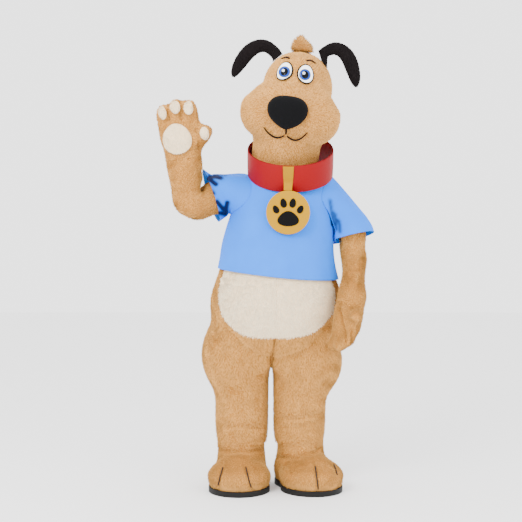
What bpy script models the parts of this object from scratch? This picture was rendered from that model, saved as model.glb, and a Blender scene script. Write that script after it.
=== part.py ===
"""A worn dog mascot costume with no wearer in it.

A plush jumpsuit with a cream belly, mitts and boots, a foam-backed plush head, a short-sleeved
T-shirt, and a wide collar with a strap and a round tag. Each cut piece is a closed wall of its own,
0.4 mm from its neighbours at the seams.

The costume faces -Y with +X to the viewer's right, so the wearer's right is at -X. The tables give
heights above the floor; one empty then carries every piece down, so that the frame's origin is
between the wearer's shoulders, where the costume is carried.
"""

import math
from collections import namedtuple

import bpy
import numpy as np
from mathutils import Matrix, Vector
from mathutils.bvhtree import BVHTree

# Driving sizes, in metres
CARRY_HEIGHT = 1.340    # from the floor to the wearer's shoulders, where the jumpsuit hangs
SEAM = 0.0004           # clear space between two pieces at a seam
LAID_ON = 0.0004        # clear space under a piece that lies on another
PLUSH = 0.010           # plush: 2 mm backing and 8 mm pile
HEAD_FOAM = 0.014       # foam shell of the head with its short plush
JERSEY = 0.002          # shirt knit
FELT = 0.0025           # felt and fleece pieces that lie on the plush
SHIRT_EASE = 0.0039     # from the plush to the inside of the shirt
SOLE_HEIGHT = 0.022
COLLAR_RADIUS = 0.182   # outside
COLLAR_HEIGHT = 0.106
COLLAR_FOAM = 0.007
COLLAR_TILT = math.radians(26)
TAG_RADIUS = 0.090
TAG_FOAM = 0.014
WAIST_SEAM = 0.975
CROTCH = 0.530          # where the front and back seams turn under the body

Blob = namedtuple("Blob", "name x y z half_width half_depth half_height")
Limb = namedtuple("Limb", "name start end start_radius end_radius depth_share")
Fold = namedtuple("Fold", "name start end half_width depth")

BODY = [
    Blob("belly", 0.000, -0.020, 0.770, 0.285, 0.225, 0.265),
    Blob("waist", 0.005, -0.005, 0.980, 0.236, 0.192, 0.250),
    Blob("chest", 0.030, 0.004, 1.140, 0.208, 0.158, 0.172),
    Blob("yoke", 0.045, 0.015, 1.262, 0.195, 0.100, 0.078),
]
RIGHT_LEG = [
    Blob("right_seat", -0.185, 0.010, 0.560, 0.138, 0.165, 0.180),
    Limb("right_leg", (-0.146, 0.012, 0.500), (-0.146, 0.000, 0.100), 0.120, 0.116, 1.0),
]
LEFT_LEG = [
    Blob("left_seat", 0.150, 0.010, 0.535, 0.138, 0.170, 0.165),
    Limb("left_leg", (0.102, 0.012, 0.480), (0.098, 0.000, 0.100), 0.119, 0.114, 1.0),
]
Joint = namedtuple("Joint", "x y z radius")
RIGHT_ARM = [
    Joint(-0.120, 0.018, 1.284, 0.080),
    Joint(-0.362, -0.030, 1.190, 0.070),
    Joint(-0.388, -0.084, 1.400, 0.082),
]
LEFT_ARM = [
    Joint(0.100, 0.005, 1.300, 0.080),
    Joint(0.215, 0.008, 1.240, 0.080),
    Joint(0.314, 0.012, 1.085, 0.068),
    Joint(0.328, -0.020, 0.960, 0.057),
    Joint(0.308, -0.168, 0.815, 0.061),
    Joint(0.300, -0.190, 0.776, 0.064),
]
HEAD = [
    Blob("cranium", 0.000, 0.025, 0.100, 0.150, 0.165, 0.165),
    Limb("neck", (-0.006, -0.004, -0.060), (-0.008, -0.004, -0.220), 0.142, 0.146, 0.88),
    Blob("brow", 0.000, -0.075, 0.145, 0.105, 0.080, 0.085),
    Blob("bridge", 0.000, -0.130, 0.030, 0.100, 0.105, 0.090),
    Blob("right_jowl", -0.092, -0.105, -0.012, 0.120, 0.120, 0.120),
    Blob("left_jowl", 0.092, -0.105, -0.012, 0.120, 0.120, 0.120),
    Blob("chin", 0.000, -0.070, -0.128, 0.100, 0.098, 0.078),
]
MITT = [
    Limb("cuff", (0.0, 0.0, -0.040), (0.0, 0.0, 0.050), 0.078, 0.077, 0.88),
    Blob("palm", 0.000, 0.000, 0.095, 0.088, 0.056, 0.090),
    Limb("little_finger", (-0.050, -0.004, 0.140), (-0.053, -0.020, 0.190), 0.035, 0.033, 1.0),
    Limb("middle_finger", (0.000, -0.004, 0.150), (0.000, -0.024, 0.206), 0.036, 0.035, 1.0),
    Limb("first_finger", (0.050, -0.004, 0.140), (0.052, -0.020, 0.196), 0.035, 0.034, 1.0),
    Limb("thumb", (0.060, -0.010, 0.050), (0.100, -0.030, 0.092), 0.036, 0.034, 1.0),
]
BOOT = [
    Blob("heel", 0.000, 0.030, 0.062, 0.104, 0.100, 0.090),
    Limb("ankle", (0.0, 0.000, 0.090), (0.0, 0.000, 0.230), 0.100, 0.100, 1.0),
    Limb("instep", (0.0, -0.010, 0.112), (0.0, -0.120, 0.072), 0.098, 0.076, 1.0),
    Blob("toes", 0.000, -0.108, 0.058, 0.136, 0.148, 0.080),
]
FOLDS = [
    Fold("pouch_right", (-0.200, -0.210, 0.640), (-0.055, -0.160, 0.545), 0.036, 0.011),
    Fold("pouch_left", (0.190, -0.200, 0.610), (0.020, -0.160, 0.545), 0.036, 0.011),
    Fold("left_hip", (0.260, -0.100, 0.480), (0.205, -0.110, 0.400), 0.040, 0.010),
    Fold("left_ankle_outer", (0.210, -0.040, 0.262), (0.085, -0.120, 0.266), 0.022, 0.011),
    Fold("left_ankle_inner", (0.085, -0.120, 0.266), (-0.030, -0.030, 0.284), 0.022, 0.009),
    Fold("right_ankle_inner", (-0.160, -0.115, 0.345), (-0.045, -0.020, 0.372), 0.026, 0.007),
]

COLOURS = {  # sRGB, 0 to 1
    "tan_plush": (0.86, 0.68, 0.47),
    "cream_plush": (0.96, 0.91, 0.84),
    "black_plush": (0.07, 0.05, 0.05),
    "black_fleece": (0.05, 0.05, 0.06),
    "blue_jersey": (0.44, 0.72, 0.98),
    "red_foam": (0.90, 0.11, 0.16),
    "yellow_felt": (0.98, 0.80, 0.13),
    "black_felt": (0.08, 0.06, 0.07),
    "brown_felt": (0.30, 0.14, 0.09),
    "eye_white": (0.95, 0.96, 0.98),
    "sole_rubber": (0.06, 0.06, 0.07),
}


def blob_distance(points, blob):
    radii = np.array([blob.half_width, blob.half_depth, blob.half_height])
    scaled = (points - (blob.x, blob.y, blob.z)) / radii
    length = np.linalg.norm(scaled, axis=-1)
    slope = np.maximum(np.linalg.norm(scaled / radii, axis=-1), 1e-9)
    return length * (length - 1) / slope


def limb_distance(points, limb):
    start, end = np.array(limb.start), np.array(limb.end)
    along = np.clip(((points - start) @ (end - start)) / ((end - start) @ (end - start)), 0, 1)
    away = points - (start + along[..., None] * (end - start))
    away = away / (1.0, limb.depth_share, 1.0)
    radius = limb.start_radius + along * (limb.end_radius - limb.start_radius)
    return np.linalg.norm(away, axis=-1) - radius


class Form:
    """A soft form: a smooth union of blobs and limbs, which place puts where it belongs."""

    def __init__(self, pieces, blend, place=None, swell=0.0):
        self.pieces, self.swell = pieces, swell
        self.blend = blend if isinstance(blend, list) else [blend] * len(pieces)
        self.place = np.array(place if place is not None else Matrix.Identity(4))
        self.back = np.linalg.inv(self.place)

    def swollen(self, by):
        return Form(self.pieces, self.blend, self.place, self.swell + by)

    def axis(self, number):
        """One of the form's own axes, in the room."""
        return self.place[:3, number] / np.linalg.norm(self.place[:3, number])

    def to_room(self, points):
        return np.asarray(points) @ self.place[:3, :3].T + self.place[:3, 3]

    def distance(self, points):
        local = np.asarray(points) @ self.back[:3, :3].T + self.back[:3, 3]
        total = None
        for piece, blend in zip(self.pieces, self.blend):
            measure = blob_distance if isinstance(piece, Blob) else limb_distance
            found = measure(local, piece)
            if total is None:
                total = found
                continue
            share = np.clip(0.5 + 0.5 * (found - total) / blend, 0, 1)
            total = found + (total - found) * share - blend * share * (1 - share)
        return total * np.linalg.norm(self.place[:3, 2]) - self.swell

    def normals(self, points, step=0.002):
        shifts = np.eye(3) * step
        slope = [self.distance(points + s) - self.distance(points - s) for s in shifts]
        slope = np.stack(slope, axis=-1)
        return slope / np.maximum(np.linalg.norm(slope, axis=-1, keepdims=True), 1e-12)

    def cast(self, starts, directions, reach=0.5, first=False):
        """Where rays from inside the form last leave it, or first leave it."""
        starts, directions = np.broadcast_arrays(np.asarray(starts, float), directions)
        steps = np.linspace(0, reach, 64)
        inside = np.array([self.distance(starts + directions * s) < 0 for s in steps])
        last = len(steps) - 1 - np.argmax(inside[::-1], axis=0)
        if first:
            last = np.where(inside.all(axis=0), last, np.maximum(np.argmin(inside, axis=0) - 1, 0))
        near = np.where(inside.any(axis=0), steps[last], 0.0)
        far = near + steps[1]
        for _ in range(26):
            middle = (near + far) / 2
            within = self.distance(starts + directions * middle[..., None]) < 0
            near, far = np.where(within, middle, near), np.where(within, far, middle)
        return starts + directions * near[..., None]

    def settle(self, points, gap):
        """Points moved straight to that distance from the form."""
        points = np.array(points, float)
        for _ in range(12):
            points += self.normals(points) * (gap - self.distance(points))[..., None]
        return points

    def keep_off(self, points, gap):
        """Points that lie nearer than gap are moved out to it."""
        near = self.distance(points) < gap
        return np.where(near[..., None], self.settle(points, gap), points)


def folded(points, normals):
    """Points pushed in along each fold, which is deepest at its middle and fades at its ends."""
    for fold in FOLDS:
        start, end = np.array(fold.start), np.array(fold.end)
        share = ((points - start) @ (end - start)) / ((end - start) @ (end - start))
        clipped = np.clip(share, 0, 1)
        away = np.linalg.norm(points - (start + clipped[..., None] * (end - start)), axis=-1)
        fade = np.sin(np.pi * np.clip(0.15 + 0.7 * clipped, 0, 1))
        depth = fold.depth * fade * np.exp(-((away / fold.half_width) ** 2))
        points = points - normals * depth[..., None]
    return points


def object_from(name, points, faces, material):
    mesh = bpy.data.meshes.new(name)
    mesh.from_pydata([tuple(p) for p in points], [], faces)
    mesh.shade_smooth()
    mesh.set_sharp_from_angle(angle=math.radians(50))
    return add_piece(name, mesh, material)


def add_piece(name, mesh, material):
    made = bpy.data.objects.new(name, mesh)
    costume.objects.link(made)
    made.parent = carried
    mesh.materials.append(materials[material])
    return made


def facing_out(points, normals, faces):
    """The faces, which agree with each other, turned to point the way the normals do."""
    vote = 0.0
    for face in faces:
        corners = points[list(face)]
        across = np.cross(corners[2] - corners[0], corners[-1] - corners[1])
        vote += across @ normals[list(face)].sum(axis=0)
    return faces if vote > 0 else [face[::-1] for face in faces]


def triangles(faces):
    return [(face[0], b, c) for face in faces for b, c in zip(face[1:], face[2:])]


def surface_normals(points, outs, faces):
    """The normals of the faces round each point, on the side that outs points to."""
    faces = facing_out(points, outs, faces)
    total = np.zeros_like(points)
    for face in faces:
        corners = points[list(face)]
        total[list(face)] += np.cross(corners[2] - corners[0], corners[-1] - corners[1])
    return total / np.linalg.norm(total, axis=1, keepdims=True)


def rim_of(faces):
    """The edges that one face alone uses, as that face runs along them."""
    runs = {(a, b) for face in faces for a, b in zip(face, face[1:] + face[:1])}
    return [(a, b) for a, b in sorted(runs) if (b, a) not in runs]


def seam_shift(points, normals, rim):
    """How each rim point moves into its piece, to leave half a seam."""
    into = {}
    for a, b in rim:
        across = np.cross(normals[a] + normals[b], points[b] - points[a])
        across /= max(np.linalg.norm(across), 1e-12)
        into.setdefault(a, []).append(across)
        into.setdefault(b, []).append(across)
    shift = np.zeros_like(points)
    for i, sides in into.items():
        total = sum(sides)
        shift[i] = total / max(total @ total / 2, 0.4) * SEAM / 2
    return shift


def wall(name, outer, normals, inner, faces, material, moved=None):
    """A closed piece between an outer and an inner face that share their corners' numbers."""
    used = sorted({i for face in faces for i in face})
    number = {old: new for new, old in enumerate(used)}
    outer, normals, inner = outer[used], normals[used], inner[used]
    faces = [tuple(number[i] for i in face) for face in faces]
    faces = triangles(facing_out(outer, normals, faces))
    rim = rim_of(faces)
    shift = seam_shift(outer, normals, rim)
    points = np.concatenate([outer + shift, inner + shift])
    if moved is not None:
        points = moved(points)
    count = len(outer)
    inside = [tuple(i + count for i in face[::-1]) for face in faces]
    sides = []
    for a, b in rim:
        if a < b:
            sides += [(b, a, b + count), (a, a + count, b + count)]
        else:
            sides += [(b, a, a + count), (b, a + count, b + count)]
    return object_from(name, points, faces + inside + sides, material)


def grid_faces(numbers, closed=False):
    """Four-cornered faces between the rows of a table of point numbers."""
    rows, columns = numbers.shape
    faces = []
    for r in range(rows - 1):
        for c in range(columns if closed else columns - 1):
            d = (c + 1) % columns
            faces.append((numbers[r, c], numbers[r, d], numbers[r + 1, d], numbers[r + 1, c]))
    return [tuple(int(i) for i in face) for face in faces]


def relaxed(values, fixed, rounds=60):
    """A table of numbers evened out between its fixed places."""
    values = values.copy()
    for _ in range(rounds):
        mean = values.copy()
        mean[1:-1, 1:-1] = (
            values[:-2, 1:-1] + values[2:, 1:-1] + values[1:-1, :-2] + values[1:-1, 2:]
        ) / 4
        values = np.where(fixed, values, mean)
    return values


def smooth_step(value, low, high):
    share = np.clip((value - low) / (high - low), 0, 1)
    return share * share * (3 - 2 * share)


# The jumpsuit below the waist

SIDE_COLUMNS = 12       # from the front seam round the outside to the back seam
INNER_COLUMNS = 6       # from the back seam round the inside of the leg to the front
SIDE_SEAM_COLUMN = 6
LEG_ROWS = [WAIST_SEAM, 0.925, 0.870, 0.815, 0.765, 0.715, 0.668, 0.625, 0.578, CROTCH,
            0.468, 0.422, 0.375, 0.320, 0.282, 0.250, 0.212, 0.165]
CROTCH_ROW = 9
BELLY_COLUMN = 4        # the cream panel's edge in the table of points
BELLY_ROW = 7
BELLY_TOP, BELLY_FLOOR, BELLY_SHARE = 0.925, 0.646, 0.345


def seam_x(height):
    """How far right the front seam lies: over the gap between the legs, it is off centre."""
    return -0.020 * (1 - smooth_step(height, CROTCH, 0.72))


def belly_edge(turn):
    """Share of the way round and height of the cream panel's rounded edge, from its side to its foot."""
    share = BELLY_SHARE * np.cos(turn) ** 0.8
    return share, BELLY_TOP - (BELLY_TOP - BELLY_FLOOR) * np.sin(turn) ** 0.8


def side_table():
    """Share of the way round and height of every point from the front seam to the back seam."""
    rows = len(LEG_ROWS)
    share = np.tile(np.linspace(0, 1, SIDE_COLUMNS + 1), (rows, 1))
    height = np.tile(np.array(LEG_ROWS)[:, None], (1, SIDE_COLUMNS + 1))
    fixed = np.zeros(share.shape, bool)
    fixed[0], fixed[:, 0], fixed[:, -1] = True, True, True
    fixed[CROTCH_ROW:] = True
    for row in range(BELLY_ROW + 1):
        turn = math.radians(45) * max(0, row - 1) / (BELLY_ROW - 1)
        share[row, BELLY_COLUMN], height[row, BELLY_COLUMN] = belly_edge(turn)
        fixed[row, BELLY_COLUMN] = True
    height[0, BELLY_COLUMN] = LEG_ROWS[0]
    for column in range(BELLY_COLUMN):
        turn = math.radians(90 - 45 * column / BELLY_COLUMN)
        share[BELLY_ROW, column], height[BELLY_ROW, column] = belly_edge(turn)
        fixed[BELLY_ROW, column] = True
    share[:BELLY_ROW + 1, 0] = 0
    height[1:BELLY_ROW, 0] = np.linspace(LEG_ROWS[0], BELLY_FLOOR, BELLY_ROW + 1)[1:-1]
    height[BELLY_ROW + 1, 0] = (BELLY_FLOOR + CROTCH) / 2
    share[0] = relaxed_line(share[0], BELLY_COLUMN, BELLY_SHARE)
    return relaxed(share, fixed), relaxed(height, fixed)


def relaxed_line(line, place, value):
    """An even run of numbers that passes through value at place."""
    before = np.linspace(line[0], value, place + 1)
    return np.concatenate([before, np.linspace(value, line[-1], len(line) - place)[1:]])


def leg_axis(side, height):
    """The middle of a leg, or above it a place well inside that half of the body."""
    limb = (RIGHT_LEG if side < 0 else LEFT_LEG)[1]
    share = np.clip((limb.start[2] - height) / (limb.start[2] - limb.end[2]), 0, 1)
    x = limb.start[0] + share * (limb.end[0] - limb.start[0])
    lift = smooth_step(height, 0.50, 0.80)
    return np.stack([x * (1 - lift) + side * 0.07 * lift, np.full_like(x, 0.005), height], axis=-1)


def outward(side, angle):
    """Level directions: 0 faces front, a quarter turn the outside, and a half turn the back."""
    return np.stack([side * np.sin(angle), -np.cos(angle), np.zeros_like(angle)], axis=-1)


def middle_points(form, other, heights, forward):
    """Where the body's middle plane meets its front or back, the same for both sides."""
    starts = np.stack([seam_x(heights), np.full_like(heights, -0.02), heights], axis=-1)
    direction = np.array([0.0, -1.0 if forward else 1.0, 0.0])
    first, second = form.cast(starts, direction), other.cast(starts, direction)
    pick = first[:, 1] < second[:, 1] if forward else first[:, 1] > second[:, 1]
    return np.where(pick[:, None], first, second)


def bearing(side, points, axis):
    return np.arctan2(side * (points[..., 0] - axis[..., 0]), -(points[..., 1] - axis[..., 1]))


def crotch_points():
    """The seam that runs under the trunk from the front to the back, without its two ends."""
    centre = np.array([seam_x(np.array(CROTCH)), -0.02, CROTCH + 0.03])
    angles = np.linspace(0, math.pi, INNER_COLUMNS + 1)[1:-1]
    ways = np.stack([np.zeros_like(angles), np.cos(angles), -np.sin(angles)], axis=-1)
    return torso_form.cast(centre, ways)


def half_jumpsuit(side, boot_form):
    """The points, normals and panels of one half of the jumpsuit, from the waist to the ankle."""
    form, other = body_side[side], body_side[-side]
    share, height = side_table()
    height = height + ankle_lift(share, height)
    axis = leg_axis(side, height)
    rows = len(LEG_ROWS)
    front = middle_points(form, other, height[:, 0], True)
    back = middle_points(form, other, height[:, -1], False)
    front_way = bearing(side, front, axis[:, 0])
    back_way = bearing(side, back, axis[:, -1]) % math.tau
    for row in range(CROTCH_ROW + 1, rows):
        turned = smooth_step(np.array(LEG_ROWS[row]), 0.30, LEG_ROWS[CROTCH_ROW])
        front_way[row] = front_way[CROTCH_ROW] * turned - math.radians(12) * (1 - turned)
        back_way[row] = back_way[CROTCH_ROW] * turned + math.radians(192) * (1 - turned)
    angle = front_way[:, None] + share * (back_way - front_way)[:, None]
    points = form.cast(axis, outward(side, angle))
    points[:CROTCH_ROW + 1, 0] = front[:CROTCH_ROW + 1]
    points[:CROTCH_ROW + 1, -1] = back[:CROTCH_ROW + 1]

    inner_rows = LEG_ROWS[CROTCH_ROW + 1:]
    inner_share = np.linspace(0, 1, INNER_COLUMNS + 1)[None, 1:-1]
    low_front = front_way[CROTCH_ROW + 1:, None] + math.tau
    low_back = back_way[CROTCH_ROW + 1:, None]
    inner_angle = low_back + inner_share * (low_front - low_back)
    inner_height = np.tile(np.array(inner_rows)[:, None], (1, INNER_COLUMNS - 1))
    inner_height = inner_height + ankle_lift(0.1, inner_height)
    inner = form.cast(leg_axis(side, inner_height), outward(side, inner_angle))
    inner = np.concatenate([crotch_points()[None], inner])

    cloud = np.concatenate([points.reshape(-1, 3), inner.reshape(-1, 3)])
    normals = form.normals(cloud)
    middle = np.concatenate([np.arange(CROTCH_ROW + 1) * (SIDE_COLUMNS + 1),
                             np.arange(CROTCH_ROW + 1) * (SIDE_COLUMNS + 1) + SIDE_COLUMNS,
                             points[..., 0].size + np.arange(INNER_COLUMNS - 1)])
    normals[middle] = (form.normals(cloud[middle]) + other.normals(cloud[middle])) / 2
    normals[middle, 0] = 0
    normals[:SIDE_COLUMNS + 1, 2] = 0
    normals /= np.linalg.norm(normals, axis=1, keepdims=True)
    cloud = folded(cloud, normals)
    low = cloud[:, 2] < CROTCH + 0.02
    low[middle] = False
    line = seam_x(cloud[:, 2]) + side * 0.0025
    cloud[:, 0] = np.where(low, side * np.maximum(side * cloud[:, 0], side * line), cloud[:, 0])
    numbers = np.arange(points[..., 0].size).reshape(rows, SIDE_COLUMNS + 1)
    inner_numbers = np.arange(inner[..., 0].size).reshape(-1, INNER_COLUMNS - 1) + numbers.size
    inner_numbers = np.concatenate(
        [numbers[CROTCH_ROW:, -1:], inner_numbers, numbers[CROTCH_ROW:, :1]], axis=1)
    inside = cloud - normals * PLUSH
    inside = boot_form.keep_off(inside, 0.003)
    cloud = boot_form.keep_off(cloud, 0.003)

    half = INNER_COLUMNS // 2
    belly = grid_faces(numbers[:BELLY_ROW + 1, :BELLY_COLUMN + 1])
    front_faces = set(grid_faces(numbers[:, :SIDE_SEAM_COLUMN + 1])) - set(belly)
    panels = {
        "belly": belly,
        "front": sorted(front_faces) + grid_faces(inner_numbers[:, half:]),
        "back": grid_faces(numbers[:, SIDE_SEAM_COLUMN:]) + grid_faces(inner_numbers[:, :half + 1]),
    }
    return cloud, normals, inside, panels


def ankle_lift(share, height):
    """The leg's hem rises over the instep in front and drops behind the heel."""
    low = 1 - smooth_step(height, LEG_ROWS[-1], LEG_ROWS[-4])
    return low * 0.030 * (1 - 2 * share)


def make_lower_jumpsuit():
    for side, word in ((-1, "right"), (1, "left")):
        cloud, normals, inside, panels = half_jumpsuit(side, boots[side])
        for panel, faces in panels.items():
            material = "cream_plush" if panel == "belly" else "tan_plush"
            name = f"belly_{word}" if panel == "belly" else f"suit_{panel}_{word}"
            wall(name, cloud, normals, inside, faces, material)


# The torso, the shirt and the sleeves on both

ROUND_COLUMNS = 24
PIVOT_HEIGHT = 1.150    # above it, rays fan up from here to the neck
FAN_RADIUS = 0.200
NECK_END = 1.368        # along the chest and over the shoulder to the neck's edge
TORSO_ROWS = [WAIST_SEAM, 1.030, 1.085, 1.140, 1.190, 1.240, 1.290, 1.330, NECK_END]
SHIRT_ROWS = [0.905, 0.950, 1.000, 1.050, 1.095, 1.140, 1.190, 1.240, 1.290, 1.330, NECK_END]
NECK_TUBE = (0.0060, 0.0086, 0.052)   # the neck stands up and back, inside the neck of the head
ARM_COLUMNS = 2         # columns from an armhole's middle to its edge
Rise = namedtuple("Rise", "near front height")
SHOULDER_RISE = {-1: Rise(0.130, 0.000, 0.050), 1: Rise(0.085, -0.030, 0.055)}
SHOULDER_HEIGHT = {-1: 1.236, 1: 1.224}
TORSO_ARMHOLE = (0.056, math.radians(25))   # half height and half turn
SHIRT_ARMHOLE = (0.080, math.radians(31))


def shoulders_lifted(points):
    """Both shoulders stand up behind the sides of the collar, with the cloth that lies on them."""
    lifted = points.copy()
    for side, rise in SHOULDER_RISE.items():
        across = side * (points[:, 0] - COLLAR_CENTRE.x)
        share = smooth_step(across, rise.near, rise.near + 0.080)
        share *= 1 - smooth_step(across, rise.near + 0.115, rise.near + 0.255)
        share *= smooth_step(points[:, 1], rise.front, rise.front + 0.100)
        lifted[:, 2] += rise.height * share * smooth_step(points[:, 2], 1.12, 1.29)
    return lifted


def fan_ray(turn, along):
    """Start and direction of the ray for a turn about the body and a length up the chest."""
    height = np.minimum(along, PIVOT_HEIGHT)
    rise = np.maximum(along - PIVOT_HEIGHT, 0) / FAN_RADIUS
    lean = 0.045 * smooth_step(height, 0.80, PIVOT_HEIGHT)
    start = np.stack([lean, np.full_like(height, 0.005), height], axis=-1)
    flat = np.cos(rise)
    way = np.stack([np.sin(turn) * flat, -np.cos(turn) * flat, np.sin(rise)], axis=-1)
    return start, way


def hem_height(turn):
    """The shirt's hem: pulled up under the raised right arm, lowest at the left front."""
    return 0.909 - 0.024 * np.sin(turn) - 0.010 * np.cos(turn)


def round_body(form, rows, armhole, hem=None):
    """Points round the chest, with the numbers of the points on the rim of each armhole."""
    along, turn = np.meshgrid(rows, np.arange(ROUND_COLUMNS) * math.tau / ROUND_COLUMNS,
                              indexing="ij")
    if hem is not None:
        fall = 1 - smooth_step(along, rows[0], 1.09)
        along = along + (hem(turn) - rows[0]) * fall
    first = next(i for i, row in enumerate(rows) if row > 1.13)
    last = len(rows) - 2
    fixed = np.zeros(along.shape, bool)
    fixed[0], fixed[-1] = True, True
    rims = {}
    for side in (-1, 1):
        middle = (side * ROUND_COLUMNS // 4) % ROUND_COLUMNS
        low, high = middle - ARM_COLUMNS, middle + ARM_COLUMNS
        rim = [(first, c) for c in range(low, high)] + [(r, high) for r in range(first, last)]
        rim += [(last, c) for c in range(high, low, -1)] + [(r, low) for r in range(last, first, -1)]
        rims[side] = rim
        for place, (r, c) in enumerate(rim):
            spin = math.tau * (place - ARM_COLUMNS) / len(rim)
            turn[r, c] = side * math.pi / 2 % math.tau + armhole[1] * math.sin(spin)
            along[r, c] = SHOULDER_HEIGHT[side] - armhole[0] * math.cos(spin)
            fixed[r, c] = True
        fixed[first + 1:last, low + 1:high] = True
    for _ in range(40):
        for table in (turn, along):
            ahead, behind = np.roll(table, -1, axis=1), np.roll(table, 1, axis=1)
            if table is turn:
                ahead[:, -1] += math.tau
                behind[:, 0] -= math.tau
            mean = table.copy()
            mean[1:-1] = (table[:-2] + table[2:] + ahead[1:-1] + behind[1:-1]) / 4
            table[~fixed] = mean[~fixed]
    start, way = fan_ray(turn, along)
    points = form.cast(start, way)
    return points, first, last, rims


def body_panels(first, last):
    """The faces of the front and of the back, with the armholes left open."""
    def kept(row, column):
        for side in (-1, 1):
            middle = (side * ROUND_COLUMNS // 4) % ROUND_COLUMNS
            if first <= row < last and -ARM_COLUMNS <= column - middle < ARM_COLUMNS:
                return False
        return True
    return kept


def make_body(names, form, rows, armhole, thickness, material, hem=None):
    """A front and a back round the chest, and the armhole rims that the sleeves are set into."""
    points, first, last, rims = round_body(form, rows, armhole, hem)
    kept = body_panels(first, last)
    numbers = np.arange(points[..., 0].size).reshape(points.shape[:2])
    cloud = points.reshape(-1, 3)
    normals = form.normals(cloud)
    if hem is None:
        ring = points[-1]
        low, high = (ring - ring.mean(axis=0)) * (0.97, 0.97, 0), ring.mean(axis=0)
        tube = low + high + NECK_TUBE
        cloud = np.concatenate([cloud, tube])
        level = low / np.linalg.norm(low, axis=1, keepdims=True)
        normals = np.concatenate([normals, level])
        numbers = np.arange(len(cloud)).reshape(-1, ROUND_COLUMNS)
    normals[:ROUND_COLUMNS, 2] = 0
    normals /= np.linalg.norm(normals, axis=1, keepdims=True)
    inner = cloud - normals * thickness
    quarter = ROUND_COLUMNS // 4
    for name, columns in zip(names, (range(-quarter, quarter), range(quarter, 3 * quarter))):
        faces = []
        for row in range(len(numbers) - 1):
            for column in columns:
                if kept(row, column % ROUND_COLUMNS):
                    a, b = column % ROUND_COLUMNS, (column + 1) % ROUND_COLUMNS
                    faces.append((numbers[row, a], numbers[row, b],
                                  numbers[row + 1, b], numbers[row + 1, a]))
        wall(name, cloud, normals, inner, [tuple(map(int, f)) for f in faces], material,
             shoulders_lifted)
    loops = {side: np.array([numbers[r, c] for r, c in rim]) for side, rim in rims.items()}
    return {side: (cloud[loop], normals[loop]) for side, loop in loops.items()}


def arm_form(joints, blend):
    limbs = [Limb("arm", tuple(a[:3]), tuple(b[:3]), a.radius, b.radius, 0.94)
             for a, b in zip(joints, joints[1:])]
    return Form(limbs, blend)


def arm_path(joints, bend, shares):
    """Points, directions and curvatures along an arm whose corners are rounded."""
    corners = np.array([j[:3] for j in joints])
    fine = [corners[:1]]
    for before, at, after in zip(corners, corners[1:], corners[2:]):
        first = before - at
        second = after - at
        cut = min(bend, np.linalg.norm(first) * 0.48, np.linalg.norm(second) * 0.48)
        first = at + first / np.linalg.norm(first) * cut
        second = at + second / np.linalg.norm(second) * cut
        t = np.linspace(0, 1, 9)[:, None]
        fine.append(first * (1 - t) ** 2 + at * 2 * t * (1 - t) + second * t ** 2)
    fine = np.concatenate(fine + [corners[-1:]])
    steps = np.concatenate([[0], np.cumsum(np.linalg.norm(np.diff(fine, axis=0), axis=1))])
    even = np.linspace(0, steps[-1], 121)
    line = np.stack([np.interp(even, steps, fine[:, k]) for k in range(3)], axis=-1)
    ways = np.gradient(line, even, axis=0)
    ways /= np.linalg.norm(ways, axis=1, keepdims=True)
    curve = np.gradient(ways, even, axis=0)
    for _ in range(40):
        curve[1:-1] = (curve[:-2] + 2 * curve[1:-1] + curve[2:]) / 4
    curve *= 1.35
    at = np.array(shares) * 120
    found = [np.stack([np.interp(at, np.arange(121), part[:, k]) for k in range(3)], axis=-1)
             for part in (line, ways, curve)]
    found[1] /= np.linalg.norm(found[1], axis=1, keepdims=True)
    return found


Sleeve = namedtuple("Sleeve", "swell clear crook most thickness flare material")
FUR_SLEEVE = Sleeve(0.0, 0.028, 0.016, 0.092, PLUSH, 0.0, "tan_plush")
SHIRT_SLEEVE = Sleeve(0.017, 0.0155, 0.002, 0.112, JERSEY, 0.14, "blue_jersey")


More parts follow.
